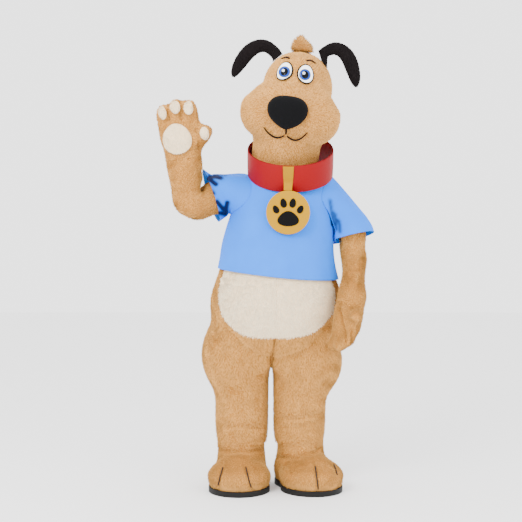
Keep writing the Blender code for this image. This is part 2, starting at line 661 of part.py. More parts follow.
def make_sleeve(name, rim, joints, bend, shares, kind, cuff=None):
    """A tube from an armhole's rim along the arm, which ends on the mitt's wrist."""
    loop, loop_normals = rim
    form = arm_form(joints, 0.030).swollen(kind.swell)
    path, ways, curves = arm_path(joints, bend, shares)
    depth = np.array([0.0, 1.0, 0.0])
    rows, row_normals = [loop], [loop_normals]
    armpit = math.pi if loop[0, 0] < 0 else 0.0
    turned = armpit + (np.arange(len(loop)) - ARM_COLUMNS) * math.tau / len(loop)
    for place, (point, way, curve) in enumerate(zip(path, ways, curves)):
        if cuff is not None and place == len(path) - 1:
            way = cuff.axis(2)
        across = np.cross(depth, way)
        across /= np.linalg.norm(across)
        upward = np.cross(way, across)
        outs = np.cos(turned)[:, None] * across + np.sin(turned)[:, None] * upward
        share = place / (len(path) - 1)
        if cuff is not None and place == len(path) - 1:
            ring = cuff.cast(point, outs, 0.2, True)
        else:
            ring = form.cast(point, outs, 0.2, True)
            reach = np.linalg.norm(ring - point, axis=1)
            inside = np.maximum(outs @ curve, 1e-6)
            reach = np.minimum(reach, np.maximum((1 / inside) - kind.crook, 0.03))
            reach = np.minimum(reach, kind.most)
            ring = point + outs * reach[:, None] * (1 + kind.flare * share ** 2)
            ring = torso_form.keep_off(ring, kind.clear)
        if place == 0:
            spread = np.clip(np.cos(turned - armpit), 0, 1)
            near = loop * 0.72 + ring * 0.28
            rows.append(torso_form.keep_off(near, kind.clear * (0.3 + 0.7 * spread)))
            row_normals.append(outs)
        rows.append(ring)
        row_normals.append(outs)
    cloud, outs = np.concatenate(rows), np.concatenate(row_normals)
    numbers = np.arange(len(cloud)).reshape(len(rows), -1)
    faces = grid_faces(numbers, closed=True)
    kept = len(cloud) - (len(loop) if cuff is not None else 0)
    cloud[len(loop):kept] = folded(cloud, outs)[len(loop):kept]
    normals = surface_normals(cloud, outs, faces)
    normals[3 * len(loop):] = outs[3 * len(loop):]
    rim = slice(len(loop))
    away = loop - loop.mean(axis=0)
    away -= (away * loop_normals).sum(axis=1, keepdims=True) * loop_normals
    away /= np.linalg.norm(away, axis=1, keepdims=True)
    short = 0.08 - (normals[rim] * away).sum(axis=1, keepdims=True)
    normals[rim] += np.maximum(short, 0) * away
    normals /= np.linalg.norm(normals, axis=1, keepdims=True)
    wall(name, cloud, normals, cloud - normals * kind.thickness, faces, kind.material,
         shoulders_lifted)


def make_upper_body():
    torso_rims = make_body(("torso_front", "torso_back"), torso_form, TORSO_ROWS, TORSO_ARMHOLE,
                           PLUSH, "tan_plush")
    shirt_rims = make_body(("shirt_front", "shirt_back"), shirt_form, SHIRT_ROWS, SHIRT_ARMHOLE,
                           JERSEY, "blue_jersey", hem_height)
    fur = {-1: [0.26, 0.33, 0.40, 0.46, 0.51, 0.56, 0.62, 0.70, 0.80, 0.90, 1.0],
           1: [0.385, 0.44, 0.50, 0.56, 0.62, 0.69, 0.76, 0.84, 0.92, 1.0]}
    knit = {-1: [0.26, 0.30, 0.345, 0.385], 1: [0.38, 0.42, 0.455, 0.49]}
    for side, word, bend in ((-1, "right", 0.105), (1, "left", 0.090)):
        mitt = mitts[side]
        make_sleeve(f"fur_sleeve_{word}", torso_rims[side], arms[side], bend, fur[side],
                    FUR_SLEEVE, mitt)
        make_sleeve(f"shirt_sleeve_{word}", shirt_rims[side], arms[side], bend, knit[side],
                    SHIRT_SLEEVE)


def mitt_place(joints, twist, size, mirrored):
    """The frame of a mitt at an arm's end: Z along the arm and the palm towards -Y."""
    end, before = np.array(joints[-1][:3]), np.array(joints[-2][:3])
    up = Vector(end - before).normalized()
    side = Vector((0, 1, 0)).cross(up).normalized()
    frame = Matrix((side, up.cross(side), up)).transposed().to_4x4()
    spun = Matrix.Translation(end) @ frame @ Matrix.Rotation(math.radians(twist), 4, "Z")
    return spun @ Matrix.Diagonal((-size if mirrored else size, size, size, 1.0))


# Mitts

MITT_COLUMNS = 26
MITT_RINGS = [0.0, 0.34, 0.60, 0.80, 0.93, 1.0]


def mitt_outline(form):
    """The mitt's outline seen from the palm: turns, reaches and how far forward the rim lies."""
    spread = np.linspace(0, 1, MITT_COLUMNS + 1)
    turns = math.pi * (spread - 0.035 * np.sin(math.tau * spread))
    depths = np.linspace(-0.06, 0.05, 23)
    reaches = np.linspace(0.02, 0.30, 281)
    x = reaches[None, :] * np.cos(turns)[:, None]
    z = reaches[None, :] * np.sin(turns)[:, None]
    places = np.stack(np.broadcast_arrays(x[..., None], depths, z[..., None]), axis=-1)
    found = form.distance(form.to_room(places))
    nearest = found.min(axis=-1)
    last = nearest.shape[1] - 1 - np.argmax((nearest < 0)[:, ::-1], axis=1)
    forward = depths[np.argmin(found[np.arange(len(turns)), last], axis=-1)]
    return turns, reaches[last], forward


def mitt_points(form, toward):
    """Points over one side of the mitt, rising from the rim as rays meet the form."""
    turns, reaches, forward = mitt_outline(form)
    rings = np.array(MITT_RINGS)[:, None]
    x, z = rings * reaches * np.cos(turns), rings * reaches * np.sin(turns)
    middle = np.tile(forward, (len(MITT_RINGS), 1)) * rings
    local = np.stack([x, middle, z], axis=-1)
    direction = form.axis(1) * toward
    points = form.cast(form.to_room(local), direction, 0.12)
    points[-1] = form.to_room(local[-1])
    return points


def make_mitt(word, form):
    """The palm and the back of a mitt, which meet along its outline."""
    for toward, panel in ((-1.0, "palm"), (1.0, "back")):
        points = mitt_points(form, toward)
        centre, rest = points[0, :1], points[1:].reshape(-1, 3)
        cloud = np.concatenate([centre, rest])
        normals = form.normals(cloud)
        rim = np.arange(len(cloud))[-(MITT_COLUMNS + 1):]
        axis = form.axis(1)
        normals[rim] -= (normals[rim] @ axis)[:, None] * axis
        wrist = form.axis(2)
        ends = np.concatenate([[0], 1 + np.arange(len(MITT_RINGS) - 1) * (MITT_COLUMNS + 1),
                               1 + np.arange(1, len(MITT_RINGS)) * (MITT_COLUMNS + 1) - 1])
        normals[ends] -= (normals[ends] @ wrist)[:, None] * wrist
        normals /= np.linalg.norm(normals, axis=1, keepdims=True)
        numbers = np.arange(1, len(cloud)).reshape(-1, MITT_COLUMNS + 1)
        faces = [(0, int(b), int(a)) for a, b in zip(numbers[0], numbers[0, 1:])]
        faces += grid_faces(numbers)
        wall(f"mitt_{panel}_{word}", cloud, normals, cloud - normals * PLUSH * 0.9, faces,
             "tan_plush")


# Boots

BOOT_COLUMNS = 30
BOOT_ROWS = 9
BOOT_FIT = 0.0020        # the ankle's mouth meets the trouser leg


def boot_points(form):
    """Rings from the sole's edge up to the ankle's mouth."""
    rise = np.linspace(0, 1, BOOT_ROWS)[:, None]
    turn = np.arange(BOOT_COLUMNS)[None, :] * math.tau / BOOT_COLUMNS
    turn = turn - 0.35 * np.sin(turn)
    rise, turn = np.broadcast_arrays(rise, turn)
    start = np.stack([np.zeros_like(rise), -0.060 + 0.064 * rise ** 0.8,
                      SOLE_HEIGHT + LAID_ON + 0.185 * rise ** 1.25], axis=-1)
    tilt = math.radians(30) * np.sin(math.pi * rise)
    flat = np.cos(tilt)
    way = np.stack([np.sin(turn) * flat, -np.cos(turn) * flat, np.sin(tilt)], axis=-1)
    return form.cast(form.to_room(start), way @ form.place[:3, :3].T, 0.3)


def make_boot(word, form):
    points = boot_points(form)
    cloud = points.reshape(-1, 3)
    normals = form.normals(cloud)
    edge = slice(BOOT_COLUMNS)
    normals[edge, 2] = 0
    normals[-BOOT_COLUMNS:, 2] = 0
    normals /= np.linalg.norm(normals, axis=1, keepdims=True)
    inner = cloud - normals * PLUSH
    inner[:, 2] = np.maximum(inner[:, 2], cloud[0, 2])
    numbers = np.arange(len(cloud)).reshape(points.shape[:2])
    reach = BOOT_COLUMNS // 3
    for panel, columns in (("front", range(-reach, reach + 1)),
                           ("heel", range(reach, BOOT_COLUMNS - reach + 1))):
        columns = [c % BOOT_COLUMNS for c in columns]
        wall(f"boot_{panel}_{word}", cloud, normals, inner, grid_faces(numbers[:, columns]),
             "tan_plush")
    outline = points[0] + normals[edge] * 0.004
    lower, upper = outline.copy(), outline.copy()
    lower[:, 2], upper[:, 2] = 0.0, SOLE_HEIGHT
    count = BOOT_COLUMNS
    sides = [(i, (i + 1) % count, (i + 1) % count + count, i + count) for i in range(count)]
    faces = [tuple(range(count))[::-1], tuple(range(count, 2 * count))] + sides
    object_from(f"sole_{word}", np.concatenate([lower, upper]), faces, "sole_rubber")


# The head

HEAD_COLUMNS = 32
HEAD_ELEVATIONS = [-57, -47, -36, -27, -17, -6, 6, 18, 30, 43, 56, 71]
NECK_DROP = math.radians(6)   # the neck's edge is lowest under the chin
MUZZLE_COLUMNS = 7      # columns from the middle of the face to the muzzle's seam
MUZZLE_TOP_ROW = 7
FOREHEAD_COLUMNS = 8


def make_head():
    """The foam head: two muzzle halves, a forehead, and two back halves up to the crown."""
    elevation = np.radians(HEAD_ELEVATIONS)[:, None]
    turn = np.arange(HEAD_COLUMNS)[None, :] * math.tau / HEAD_COLUMNS
    elevation, turn = (a.copy() for a in np.broadcast_arrays(elevation, turn))
    elevation[0] -= NECK_DROP * np.maximum(np.cos(turn[0]), 0)
    way = np.stack([np.sin(turn) * np.cos(elevation), -np.cos(turn) * np.cos(elevation),
                    np.sin(elevation)], axis=-1)
    centre = head_form.to_room((0.0, -0.01, 0.0))
    points = head_form.cast(centre, way @ head_form.place[:3, :3].T)
    top = head_form.cast(centre, head_form.place[:3, 2])[None]
    cloud = np.concatenate([points.reshape(-1, 3), top])
    normals = head_form.normals(cloud)
    inner = cloud - normals * HEAD_FOAM
    numbers = np.arange(points[..., 0].size).reshape(points.shape[:2])
    crown = len(cloud) - 1
    rows = len(HEAD_ELEVATIONS) - 1

    def block(first_row, last_row, first_column, last_column):
        columns = [c % HEAD_COLUMNS for c in range(first_column, last_column + 1)]
        return grid_faces(numbers[first_row:last_row + 1][:, columns])

    def fan(first_column, last_column):
        pairs = [(c % HEAD_COLUMNS, (c + 1) % HEAD_COLUMNS)
                 for c in range(first_column, last_column)]
        return [(int(numbers[-1, a]), int(numbers[-1, b]), crown) for a, b in pairs]

    wide, half = FOREHEAD_COLUMNS, HEAD_COLUMNS // 2
    panels = {
        "muzzle_right": block(0, MUZZLE_TOP_ROW, -MUZZLE_COLUMNS, 0),
        "muzzle_left": block(0, MUZZLE_TOP_ROW, 0, MUZZLE_COLUMNS),
        "forehead": block(MUZZLE_TOP_ROW, rows, -wide, wide) + fan(-wide, wide),
        "head_back_left": block(0, MUZZLE_TOP_ROW, MUZZLE_COLUMNS, half)
        + block(MUZZLE_TOP_ROW, rows, wide, half) + fan(wide, half),
        "head_back_right": block(0, MUZZLE_TOP_ROW, half, HEAD_COLUMNS - MUZZLE_COLUMNS)
        + block(MUZZLE_TOP_ROW, rows, half, HEAD_COLUMNS - wide) + fan(half, HEAD_COLUMNS - wide),
    }
    for name, faces in panels.items():
        wall(name, cloud, normals, inner, faces, "tan_plush")


def plane_of(form, centre):
    """A place on the form near a point of its own frame, with ways across, up and out of it."""
    near = form.to_room(centre)
    place = form.settle(near, 0.0)
    out = form.normals(place)
    up = form.axis(2) - (form.axis(2) @ out) * out
    up /= np.linalg.norm(up)
    return place, np.cross(up, out), up, out


def tree_of(names):
    """One tree of the faces of pieces already made."""
    points, faces = [], []
    for name in names:
        mesh = bpy.data.objects[name].data
        mesh.calc_loop_triangles()
        faces += [[v + len(points) for v in corner.vertices] for corner in mesh.loop_triangles]
        points += [tuple(v.co) for v in mesh.vertices]
    return BVHTree.FromPolygons(points, faces)


def lifted_clear(points, normals, faces, tree, step=0.0002):
    """Points raised, only where needed, until their faces clear the pieces beneath."""
    points = points.copy()
    for _ in range(60):
        mine = BVHTree.FromPolygons([tuple(p) for p in points], faces)
        low = {v for face, _ in mine.overlap(tree) for v in faces[face]}
        if not low:
            break
        low = sorted(low)
        points[low] += normals[low] * step
    return points + normals * step


def lay(form, plane, offsets, under):
    """Points of a flat shape brought down onto the pieces under it, a small gap above them."""
    place, across, up, out = plane
    starts = place + offsets[:, :1] * across + offsets[:, 1:] * up + out * 0.08
    points = []
    for start in starts:
        hit = under.ray_cast(Vector(start), Vector(-out))[0]
        points.append(tuple(hit) if hit else form.cast(start - out * 0.14, out, 0.20))
    points = np.array(points)
    normals = form.normals(points)
    return points + normals * LAID_ON, normals


def oval(half_width, half_height, taper=0.0, sides=16):
    """An outline that narrows towards its top when taper is above zero."""
    turn = np.arange(sides) * math.tau / sides
    width = half_width * np.cos(turn) * (1 - taper * np.sin(turn))
    return np.stack([width, half_height * np.sin(turn)], axis=-1)


def laid_pad(name, form, plane, outline, height, edge, material, under, rings=(0.45, 0.8, 1.0)):
    """A domed pad that lies on a form: edge thick at its outline and height at its middle."""
    flat = np.concatenate([np.zeros((1, 2))] + [outline * r for r in rings])
    shares = np.concatenate([[0.0]] + [np.full(len(outline), r) for r in rings])
    tree = tree_of(under)
    bottom, normals = lay(form, plane, flat, tree)
    count = len(outline)
    numbers = np.arange(1, len(flat)).reshape(len(rings), count)
    faces = [(0, int(numbers[0, (i + 1) % count]), int(numbers[0, i])) for i in range(count)]
    faces = triangles(faces + grid_faces(numbers, closed=True))
    bottom = lifted_clear(bottom, normals, faces, tree)
    rise = edge + (height - edge) * np.sqrt(np.maximum(0, 1 - shares ** 2))
    top = bottom + normals * rise[:, None]
    return wall(name, top, normals, bottom, faces, material)


def laid_strip(name, form, plane, line, widths, height, material, under):
    """A ribbon that lies on a form along a line of flat offsets."""
    line = np.array(line)
    ways = np.gradient(line, axis=0)
    ways /= np.linalg.norm(ways, axis=1, keepdims=True)
    side = np.stack([-ways[:, 1], ways[:, 0]], axis=-1) * np.array(widths)[:, None] / 2
    flat = np.concatenate([line - side, line, line + side])
    tree = tree_of(under)
    bottom, normals = lay(form, plane, flat, tree)
    faces = triangles(grid_faces(np.arange(len(flat)).reshape(3, -1)))
    bottom = lifted_clear(bottom, normals, faces, tree)
    return wall(name, bottom + normals * height, normals, bottom, faces, material)


EYE_SPACING = 0.092
EYE_HEIGHT = 0.158


def make_face():
    """Eyes, brows, nose and mouth, laid on the plush."""
    for side, word in ((-1, "right"), (1, "left")):
        plane = plane_of(head_form, (side * EYE_SPACING / 2, -0.155, EYE_HEIGHT))
        laid_pad(f"eye_rim_{word}", head_form, plane, oval(0.036, 0.043, 0.05), FELT, FELT,
                 "black_felt", ["forehead"])
        laid_pad(f"eye_{word}", head_form, plane, oval(0.031, 0.038, 0.05), 0.010, 0.002,
                 "eye_white", [f"eye_rim_{word}"], (0.35, 0.65, 0.88, 1.0))
        pupil = plane_of(head_form, (side * (EYE_SPACING / 2 - 0.006), -0.155, EYE_HEIGHT - 0.006))
        laid_pad(f"pupil_{word}", head_form, pupil, oval(0.015, 0.017, 0.0, 12), FELT, FELT / 2,
                 "black_felt", [f"eye_{word}"], (0.6, 1.0))
        brow = plane_of(head_form, (side * 0.060, -0.110, 0.222))
        bow = [(side * x, y) for x, y in ((-0.022, 0.004), (-0.006, 0.008), (0.010, 0.006),
                                          (0.024, -0.003))]
        laid_strip(f"brow_{word}", head_form, brow, bow, (0.006, 0.010, 0.010, 0.005), FELT,
                   "brown_felt", ["forehead"])
    muzzle = ["muzzle_right", "muzzle_left", "forehead"]
    nose = plane_of(head_form, (0.0, -0.250, -0.022))
    laid_pad("nose", head_form, nose, oval(0.080, 0.062, -0.22, 20), 0.046, 0.010,
             "black_fleece", muzzle, (0.35, 0.65, 0.88, 1.0))
    mouth = plane_of(head_form, (0.0, -0.215, -0.105))
    laid_strip("mouth_middle", head_form, mouth, [(0.0, y) for y in (0.022, 0.013, 0.004, -0.006)],
               (0.007, 0.007, 0.007, 0.007), FELT, "black_felt", muzzle)
    for side, word in ((-1, "right"), (1, "left")):
        curve = [(side * (0.006 + 0.084 * t), -0.012 - 0.018 * math.sin(math.pi * t) + 0.030 * t * t)
                 for t in np.linspace(0, 1, 7)]
        laid_strip(f"mouth_{word}", head_form, mouth, curve,
                   (0.006, 0.007, 0.007, 0.007, 0.006, 0.005, 0.003), FELT, "black_felt", muzzle)


Station = namedtuple("Station", "x y z half_width half_thickness")
EAR = [
    Station(0.086, 0.010, 0.205, 0.024, 0.013),
    Station(0.112, 0.012, 0.238, 0.025, 0.013),
    Station(0.146, 0.010, 0.259, 0.027, 0.013),
    Station(0.176, 0.006, 0.261, 0.029, 0.012),
    Station(0.206, 0.000, 0.246, 0.031, 0.012),
    Station(0.231, -0.006, 0.217, 0.032, 0.012),
    Station(0.250, -0.011, 0.181, 0.030, 0.011),
    Station(0.263, -0.014, 0.149, 0.024, 0.010),
    Station(0.270, -0.016, 0.125, 0.015, 0.008),
    Station(0.273, -0.016, 0.113, 0.005, 0.004),
]
LEFT_EAR_SHIFT = (-0.026, 0.028)   # that ear stands closer and higher
TUFT = [
    Station(0.000, 0.000, 0.262, 0.026, 0.020),
    Station(-0.006, -0.004, 0.282, 0.032, 0.024),
    Station(-0.012, -0.010, 0.300, 0.026, 0.020),
    Station(-0.008, -0.014, 0.312, 0.012, 0.010),
    Station(-0.004, -0.016, 0.316, 0.004, 0.004),
]
EAR_SIDES = 10


def ear_stations(side):
    out, up = LEFT_EAR_SHIFT if side > 0 else (0.0, 0.0)
    shares = [0.0, 0.9] + [1.0] * (len(EAR) - 2)
    return [s._replace(x=s.x + out * share, z=s.z + up * share) for s, share in zip(EAR, shares)]


def make_stuffed(name, stations, side, material, sides=EAR_SIDES, seat=0.0001):
    """A stuffed form lofted through oval sections, seated on the head at its first one."""
    centres = np.array([(side * s.x, s.y, s.z) for s in stations])
    ways = np.gradient(centres, axis=0)
    ways /= np.linalg.norm(ways, axis=1, keepdims=True)
    turn = np.arange(sides) * math.tau / sides
    rings = []
    for station, centre, way in zip(stations, centres, ways):
        across = np.cross((0.0, 1.0, 0.0), way)
        across /= np.linalg.norm(across)
        thick = np.cross(way, across)
        rings.append(centre + np.cos(turn)[:, None] * across * station.half_width
                     + np.sin(turn)[:, None] * thick * station.half_thickness)
    rings = head_form.to_room(np.array(rings))
    rings[0] = head_form.settle(rings[0], seat)
    rings[1:] = head_form.keep_off(rings[1:], 0.003)
    foot = head_form.settle(head_form.to_room(centres[0]), seat)
    tip = rings[-1].mean(axis=0)
    points = np.concatenate([rings.reshape(-1, 3), [foot, tip]])
    numbers = np.arange(rings[..., 0].size).reshape(len(stations), sides)
    faces = grid_faces(numbers, closed=True)
    last = len(points) - 1
    for i in range(sides):
        j = (i + 1) % sides
        faces.append((last - 1, int(numbers[0, j]), int(numbers[0, i])))
        faces.append((last, int(numbers[-1, i]), int(numbers[-1, j])))
    if signed_volume(points, faces) < 0:
        faces = [face[::-1] for face in faces]
    object_from(name, points, faces, material)


def signed_volume(points, faces):
    total = 0.0
    for face in faces:
        for b, c in zip(face[1:], face[2:]):
            total += points[face[0]] @ np.cross(points[b], points[c])
    return total / 6


# Collar, strap and tag

COLLAR_CENTRE = Vector((0.0605, -0.008, 1.380))
COLLAR_STEPS = 40


def collar_frame():
    return Matrix.Translation(COLLAR_CENTRE) @ Matrix.Rotation(COLLAR_TILT, 4, "X")


def make_collar():
    """A turned band of covered foam, rounded at its edges."""
    inner, outer = COLLAR_RADIUS - COLLAR_FOAM, COLLAR_RADIUS
    half, rounding = COLLAR_HEIGHT / 2, 0.0025
    profile = [(outer, half - rounding), (outer, 0.0), (outer, rounding - half),
               (outer - rounding, -half), (inner + rounding, -half), (inner, rounding - half),
               (inner, half - rounding), (inner + rounding, half), (outer - rounding, half)]
    mesh = bpy.data.meshes.new("collar")
    edges = [(i, (i + 1) % len(profile)) for i in range(len(profile))]
    mesh.from_pydata([(r, 0, z) for r, z in profile], edges, [])
    made = add_piece("collar", mesh, "red_foam")
    made.matrix_local = collar_frame()
    turned = made.modifiers.new("turned", "SCREW")
    turned.axis, turned.angle = "Z", math.tau
    turned.steps = turned.render_steps = COLLAR_STEPS
    turned.use_merge_vertices, turned.merge_threshold = True, 0.00005
    turned.use_smooth_shade = True


STRAP_TOP_WIDTH, STRAP_FOOT_WIDTH = 0.046, 0.034
STRAP_WEB = 0.0022
STRAP_TURN = math.radians(-4)   # a little to the viewer's left of the collar's front
STRAP_STAND = 0.014     # from the collar's face out to the tag's middle plane
TAG_LAP = 0.006         # the tag's upper edge stands this far above the collar's lower edge
STRAP_RETURN = 0.030    # down the inside of the collar


def strap_line(foot):
    """The strap's path in the collar's own upright plane: out from the axis, and up."""
    outer = COLLAR_RADIUS + 0.0012
    inner = COLLAR_RADIUS - COLLAR_FOAM - 0.0012
    half = COLLAR_HEIGHT / 2
    line = [foot, (outer + 0.001, -half / 3), (outer, 0), (outer, half / 3)]
    line += [(outer, half), (outer - 0.001, half + 0.0016), ((outer + inner) / 2, half + 0.0028)]
    line += [(inner + 0.001, half + 0.0016), (inner, half), (inner, half - STRAP_RETURN)]
    return np.array(line)


def make_strap(frame_of_tag):
    """Webbing folded over the collar's front, narrower where it meets the tag's upper edge."""
    centre, _, up, out = frame_of_tag
    place = np.array(collar_frame() @ Matrix.Rotation(STRAP_TURN, 4, "Z"))
    top = centre + up * (TAG_RADIUS + 0.0006)
    local = np.linalg.inv(place) @ np.append(top, 1.0)
    line = strap_line((-local[1], local[2]))
    ways = np.gradient(line, axis=0)
    ways /= np.linalg.norm(ways, axis=1, keepdims=True)
    away = np.stack([ways[:, 1], -ways[:, 0]], axis=-1)
    share = np.linspace(0, 1, len(line))
    width = STRAP_FOOT_WIDTH + (STRAP_TOP_WIDTH - STRAP_FOOT_WIDTH) * np.minimum(share * 2, 1)
    sheets = []
    for shift in (STRAP_WEB, 0.0):
        level = line + away * shift
        for side in (-1, 0, 1):
            x = side * width / 2
            flat = np.stack([x, -np.sqrt(np.maximum(level[:, 0] ** 2 - x ** 2, 0)), level[:, 1]],
                            axis=-1)
            sheets.append(flat @ place[:3, :3].T + place[:3, 3])
    outer, inner = np.concatenate(sheets[:3]), np.concatenate(sheets[3:])
    normals = outer - inner
    normals /= np.linalg.norm(normals, axis=1, keepdims=True)
    numbers = np.arange(len(outer)).reshape(3, -1)
    wall("strap", outer, normals, inner, grid_faces(numbers), "yellow_felt")


def tag_frame():
    """The tag hangs from the collar's front edge, 2 mm clear of the shirt it lies against."""
    place = collar_frame() @ Matrix.Rotation(STRAP_TURN, 4, "Z")
    edge = np.array(place @ Vector((0, -COLLAR_RADIUS - STRAP_STAND, TAG_LAP - COLLAR_HEIGHT / 2)))
    lean = math.radians(7)
    up = np.array([0.0, math.sin(lean), math.cos(lean)])
    out = np.array([0.0, -math.cos(lean), math.sin(lean)])
    across = np.array([1.0, 0.0, 0.0])
    centre = edge - up * TAG_RADIUS
    outline = oval(TAG_RADIUS, TAG_RADIUS, 0.0, 40)
    back = centre + outline[:, :1] * across + outline[:, 1:] * up - out * TAG_FOAM / 2
    back = np.concatenate([back, (back + centre - out * TAG_FOAM / 2) / 2])
    short = max(0.0, 0.002 - shirt_form.distance(back).min())
    return centre + out * short * 1.1, across, up, out


def flat_piece(name, frame, outline, low, high, material):
    """A flat foam or felt shape between two levels above the tag's middle plane."""
    centre, across, up, out = frame
    ring = centre + outline[:, :1] * across + outline[:, 1:] * up
    count = len(ring)
    points = np.concatenate([ring + out * low, ring + out * high])
    faces = [tuple(range(count))[::-1], tuple(range(count, 2 * count))]
    faces += [(i, (i + 1) % count, (i + 1) % count + count, i + count) for i in range(count)]
    if signed_volume(points, faces) < 0:
        faces = [face[::-1] for face in faces]
    return object_from(name, points, faces, material)


TagPad = namedtuple("TagPad", "name x y half_width half_height taper lean")
TAG_PADS = [
    TagPad("tag_pad", 0.000, -0.026, 0.042, 0.031, 0.30, 0),
    TagPad("tag_toe_1", -0.050, 0.012, 0.012, 0.017, 0.15, 28),
    TagPad("tag_toe_2", -0.019, 0.038, 0.013, 0.019, 0.15, 10),
    TagPad("tag_toe_3", 0.019, 0.038, 0.013, 0.019, 0.15, -10),
    TagPad("tag_toe_4", 0.050, 0.012, 0.012, 0.017, 0.15, -28),
]


def make_tag(frame):
    """A round foam tag with a plain paw of felt pads on it."""
    half = TAG_FOAM / 2
    flat_piece("tag", frame, oval(TAG_RADIUS, TAG_RADIUS, 0.0, 40), -half, half, "yellow_felt")
    for pad in TAG_PADS:
        shape = oval(pad.half_width, pad.half_height, pad.taper, 14)
        lean = math.radians(pad.lean)
        turn = np.array([[math.cos(lean), math.sin(lean)], [-math.sin(lean), math.cos(lean)]])
        outline = shape @ turn + (pad.x, pad.y)
        flat_piece(pad.name, frame, outline, half + LAID_ON, half + LAID_ON + FELT, "black_felt")


MittPad = namedtuple("MittPad", "name x y z half_width half_height taper")
MITT_PADS = [
    MittPad("palm_pad", -0.012, -0.052, 0.082, 0.058, 0.062, 0.12),
    MittPad("little_finger_pad", -0.055, -0.052, 0.188, 0.015, 0.024, 0.0),
    MittPad("middle_finger_pad", -0.003, -0.060, 0.206, 0.019, 0.023, 0.0),
    MittPad("first_finger_pad", 0.048, -0.052, 0.196, 0.018, 0.024, 0.0),
    MittPad("thumb_pad", 0.098, -0.066, 0.090, 0.017, 0.025, 0.0),
]


def make_mitt_pads(form):
    for pad in MITT_PADS:
        plane = plane_of(form, (pad.x, pad.y, pad.z))
        outline = oval(pad.half_width, pad.half_height, pad.taper, 14)
        laid_pad(f"{pad.name}_right", form, plane, outline, 0.006, 0.0025, "cream_plush",
                 ["mitt_palm_right"], (0.6, 1.0))


def placed(location, turns):
    """A frame at a location, turned about X, Y and Z in that order, in degrees."""
    made = Matrix.Translation(location)
    for axis, degrees in zip("ZYX", turns[::-1]):
        made = made @ Matrix.Rotation(math.radians(degrees), 4, axis)
    return made


def plain_material(name, colour):
    made = bpy.data.materials.new(name)
    made.use_nodes = True
    shader = made.node_tree.nodes["Principled BSDF"]
    linear = [c / 12.92 if c <= 0.04045 else ((c + 0.055) / 1.055) ** 2.4 for c in colour]
    shader.inputs["Base Color"].default_value = (*linear, 1.0)
    shader.inputs["Roughness"].default_value = 0.9 if "plush" in name else 0.6
    shader.inputs["Metallic"].default_value = 0.0
    made.diffuse_color = (*linear, 1.0)
    return made


for old in list(bpy.data.objects):
    bpy.data.objects.remove(old)
costume = bpy.data.collections.new("dog_mascot_costume")
bpy.context.scene.collection.children.link(costume)
carried = bpy.data.objects.new("carried_at_the_shoulders", None)
costume.objects.link(carried)
carried.location = (0.0, 0.0, -CARRY_HEIGHT)
materials = {name: plain_material(name, colour) for name, colour in COLOURS.items()}

leg_blends = [0.060] * len(BODY) + [0.034, 0.034]
body_side = {-1: Form(BODY + RIGHT_LEG, leg_blends), 1: Form(BODY + LEFT_LEG, leg_blends)}
torso_form = Form(BODY, 0.060)
shirt_form = torso_form.swollen(SHIRT_EASE + JERSEY)
arms = {-1: RIGHT_ARM, 1: LEFT_ARM}
mitts = {-1: Form(MITT, 0.016, mitt_place(RIGHT_ARM, 0, 1.04, False)),
         1: Form(MITT, 0.016, mitt_place(LEFT_ARM, 60, 0.88, True))}
head_form = Form(HEAD, 0.045, placed((0.072, -0.020, 1.585), (2, 8.5, -7)))
boots = {-1: Form(BOOT, 0.024, placed((-0.148, 0.0, 0.0), (0, 0, -4)), BOOT_FIT),
         1: Form(BOOT, 0.024, placed((0.104, 0.0, 0.0), (0, 0, 24)), BOOT_FIT)}

make_lower_jumpsuit()
make_upper_body()
make_mitt("right", mitts[-1])
make_mitt("left", mitts[1])
make_mitt_pads(mitts[-1])
for foot_side, foot_word in ((-1, "right"), (1, "left")):
    make_boot(foot_word, boots[foot_side])
make_head()
make_face()
for ear_side, ear_word in ((-1, "right"), (1, "left")):
    make_stuffed(f"ear_{ear_word}", ear_stations(ear_side), ear_side, "black_plush",
                 seat=-0.0007 if ear_side > 0 else 0.0001)
make_stuffed("crown_tuft", TUFT, 1, "tan_plush", 8, 0.0008)
make_collar()
hanging_tag = tag_frame()
make_strap(hanging_tag)
make_tag(hanging_tag)
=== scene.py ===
import math
from collections import Counter, namedtuple

import bmesh
import bpy
import numpy as np
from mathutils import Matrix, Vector
from mathutils.bvhtree import BVHTree
from mathutils.kdtree import KDTree


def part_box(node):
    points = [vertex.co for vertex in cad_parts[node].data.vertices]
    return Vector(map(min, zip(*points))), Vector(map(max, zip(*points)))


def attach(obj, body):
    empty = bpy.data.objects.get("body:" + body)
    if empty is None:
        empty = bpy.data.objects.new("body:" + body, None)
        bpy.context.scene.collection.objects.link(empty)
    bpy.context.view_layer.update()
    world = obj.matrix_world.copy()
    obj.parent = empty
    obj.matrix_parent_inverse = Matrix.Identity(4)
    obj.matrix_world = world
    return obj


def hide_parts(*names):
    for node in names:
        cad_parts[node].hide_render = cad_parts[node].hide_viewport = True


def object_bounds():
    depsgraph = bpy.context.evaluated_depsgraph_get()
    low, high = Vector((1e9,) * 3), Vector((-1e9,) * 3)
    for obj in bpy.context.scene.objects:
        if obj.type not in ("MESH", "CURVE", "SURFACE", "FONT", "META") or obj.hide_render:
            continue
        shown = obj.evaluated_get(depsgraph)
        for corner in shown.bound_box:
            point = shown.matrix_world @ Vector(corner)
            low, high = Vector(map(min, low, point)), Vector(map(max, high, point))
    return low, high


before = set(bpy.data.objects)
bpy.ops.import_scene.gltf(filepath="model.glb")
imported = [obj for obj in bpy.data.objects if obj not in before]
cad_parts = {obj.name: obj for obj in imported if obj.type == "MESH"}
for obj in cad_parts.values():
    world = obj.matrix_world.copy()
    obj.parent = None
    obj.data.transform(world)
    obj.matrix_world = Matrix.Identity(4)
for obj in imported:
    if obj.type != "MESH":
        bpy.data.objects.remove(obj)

cad_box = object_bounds()


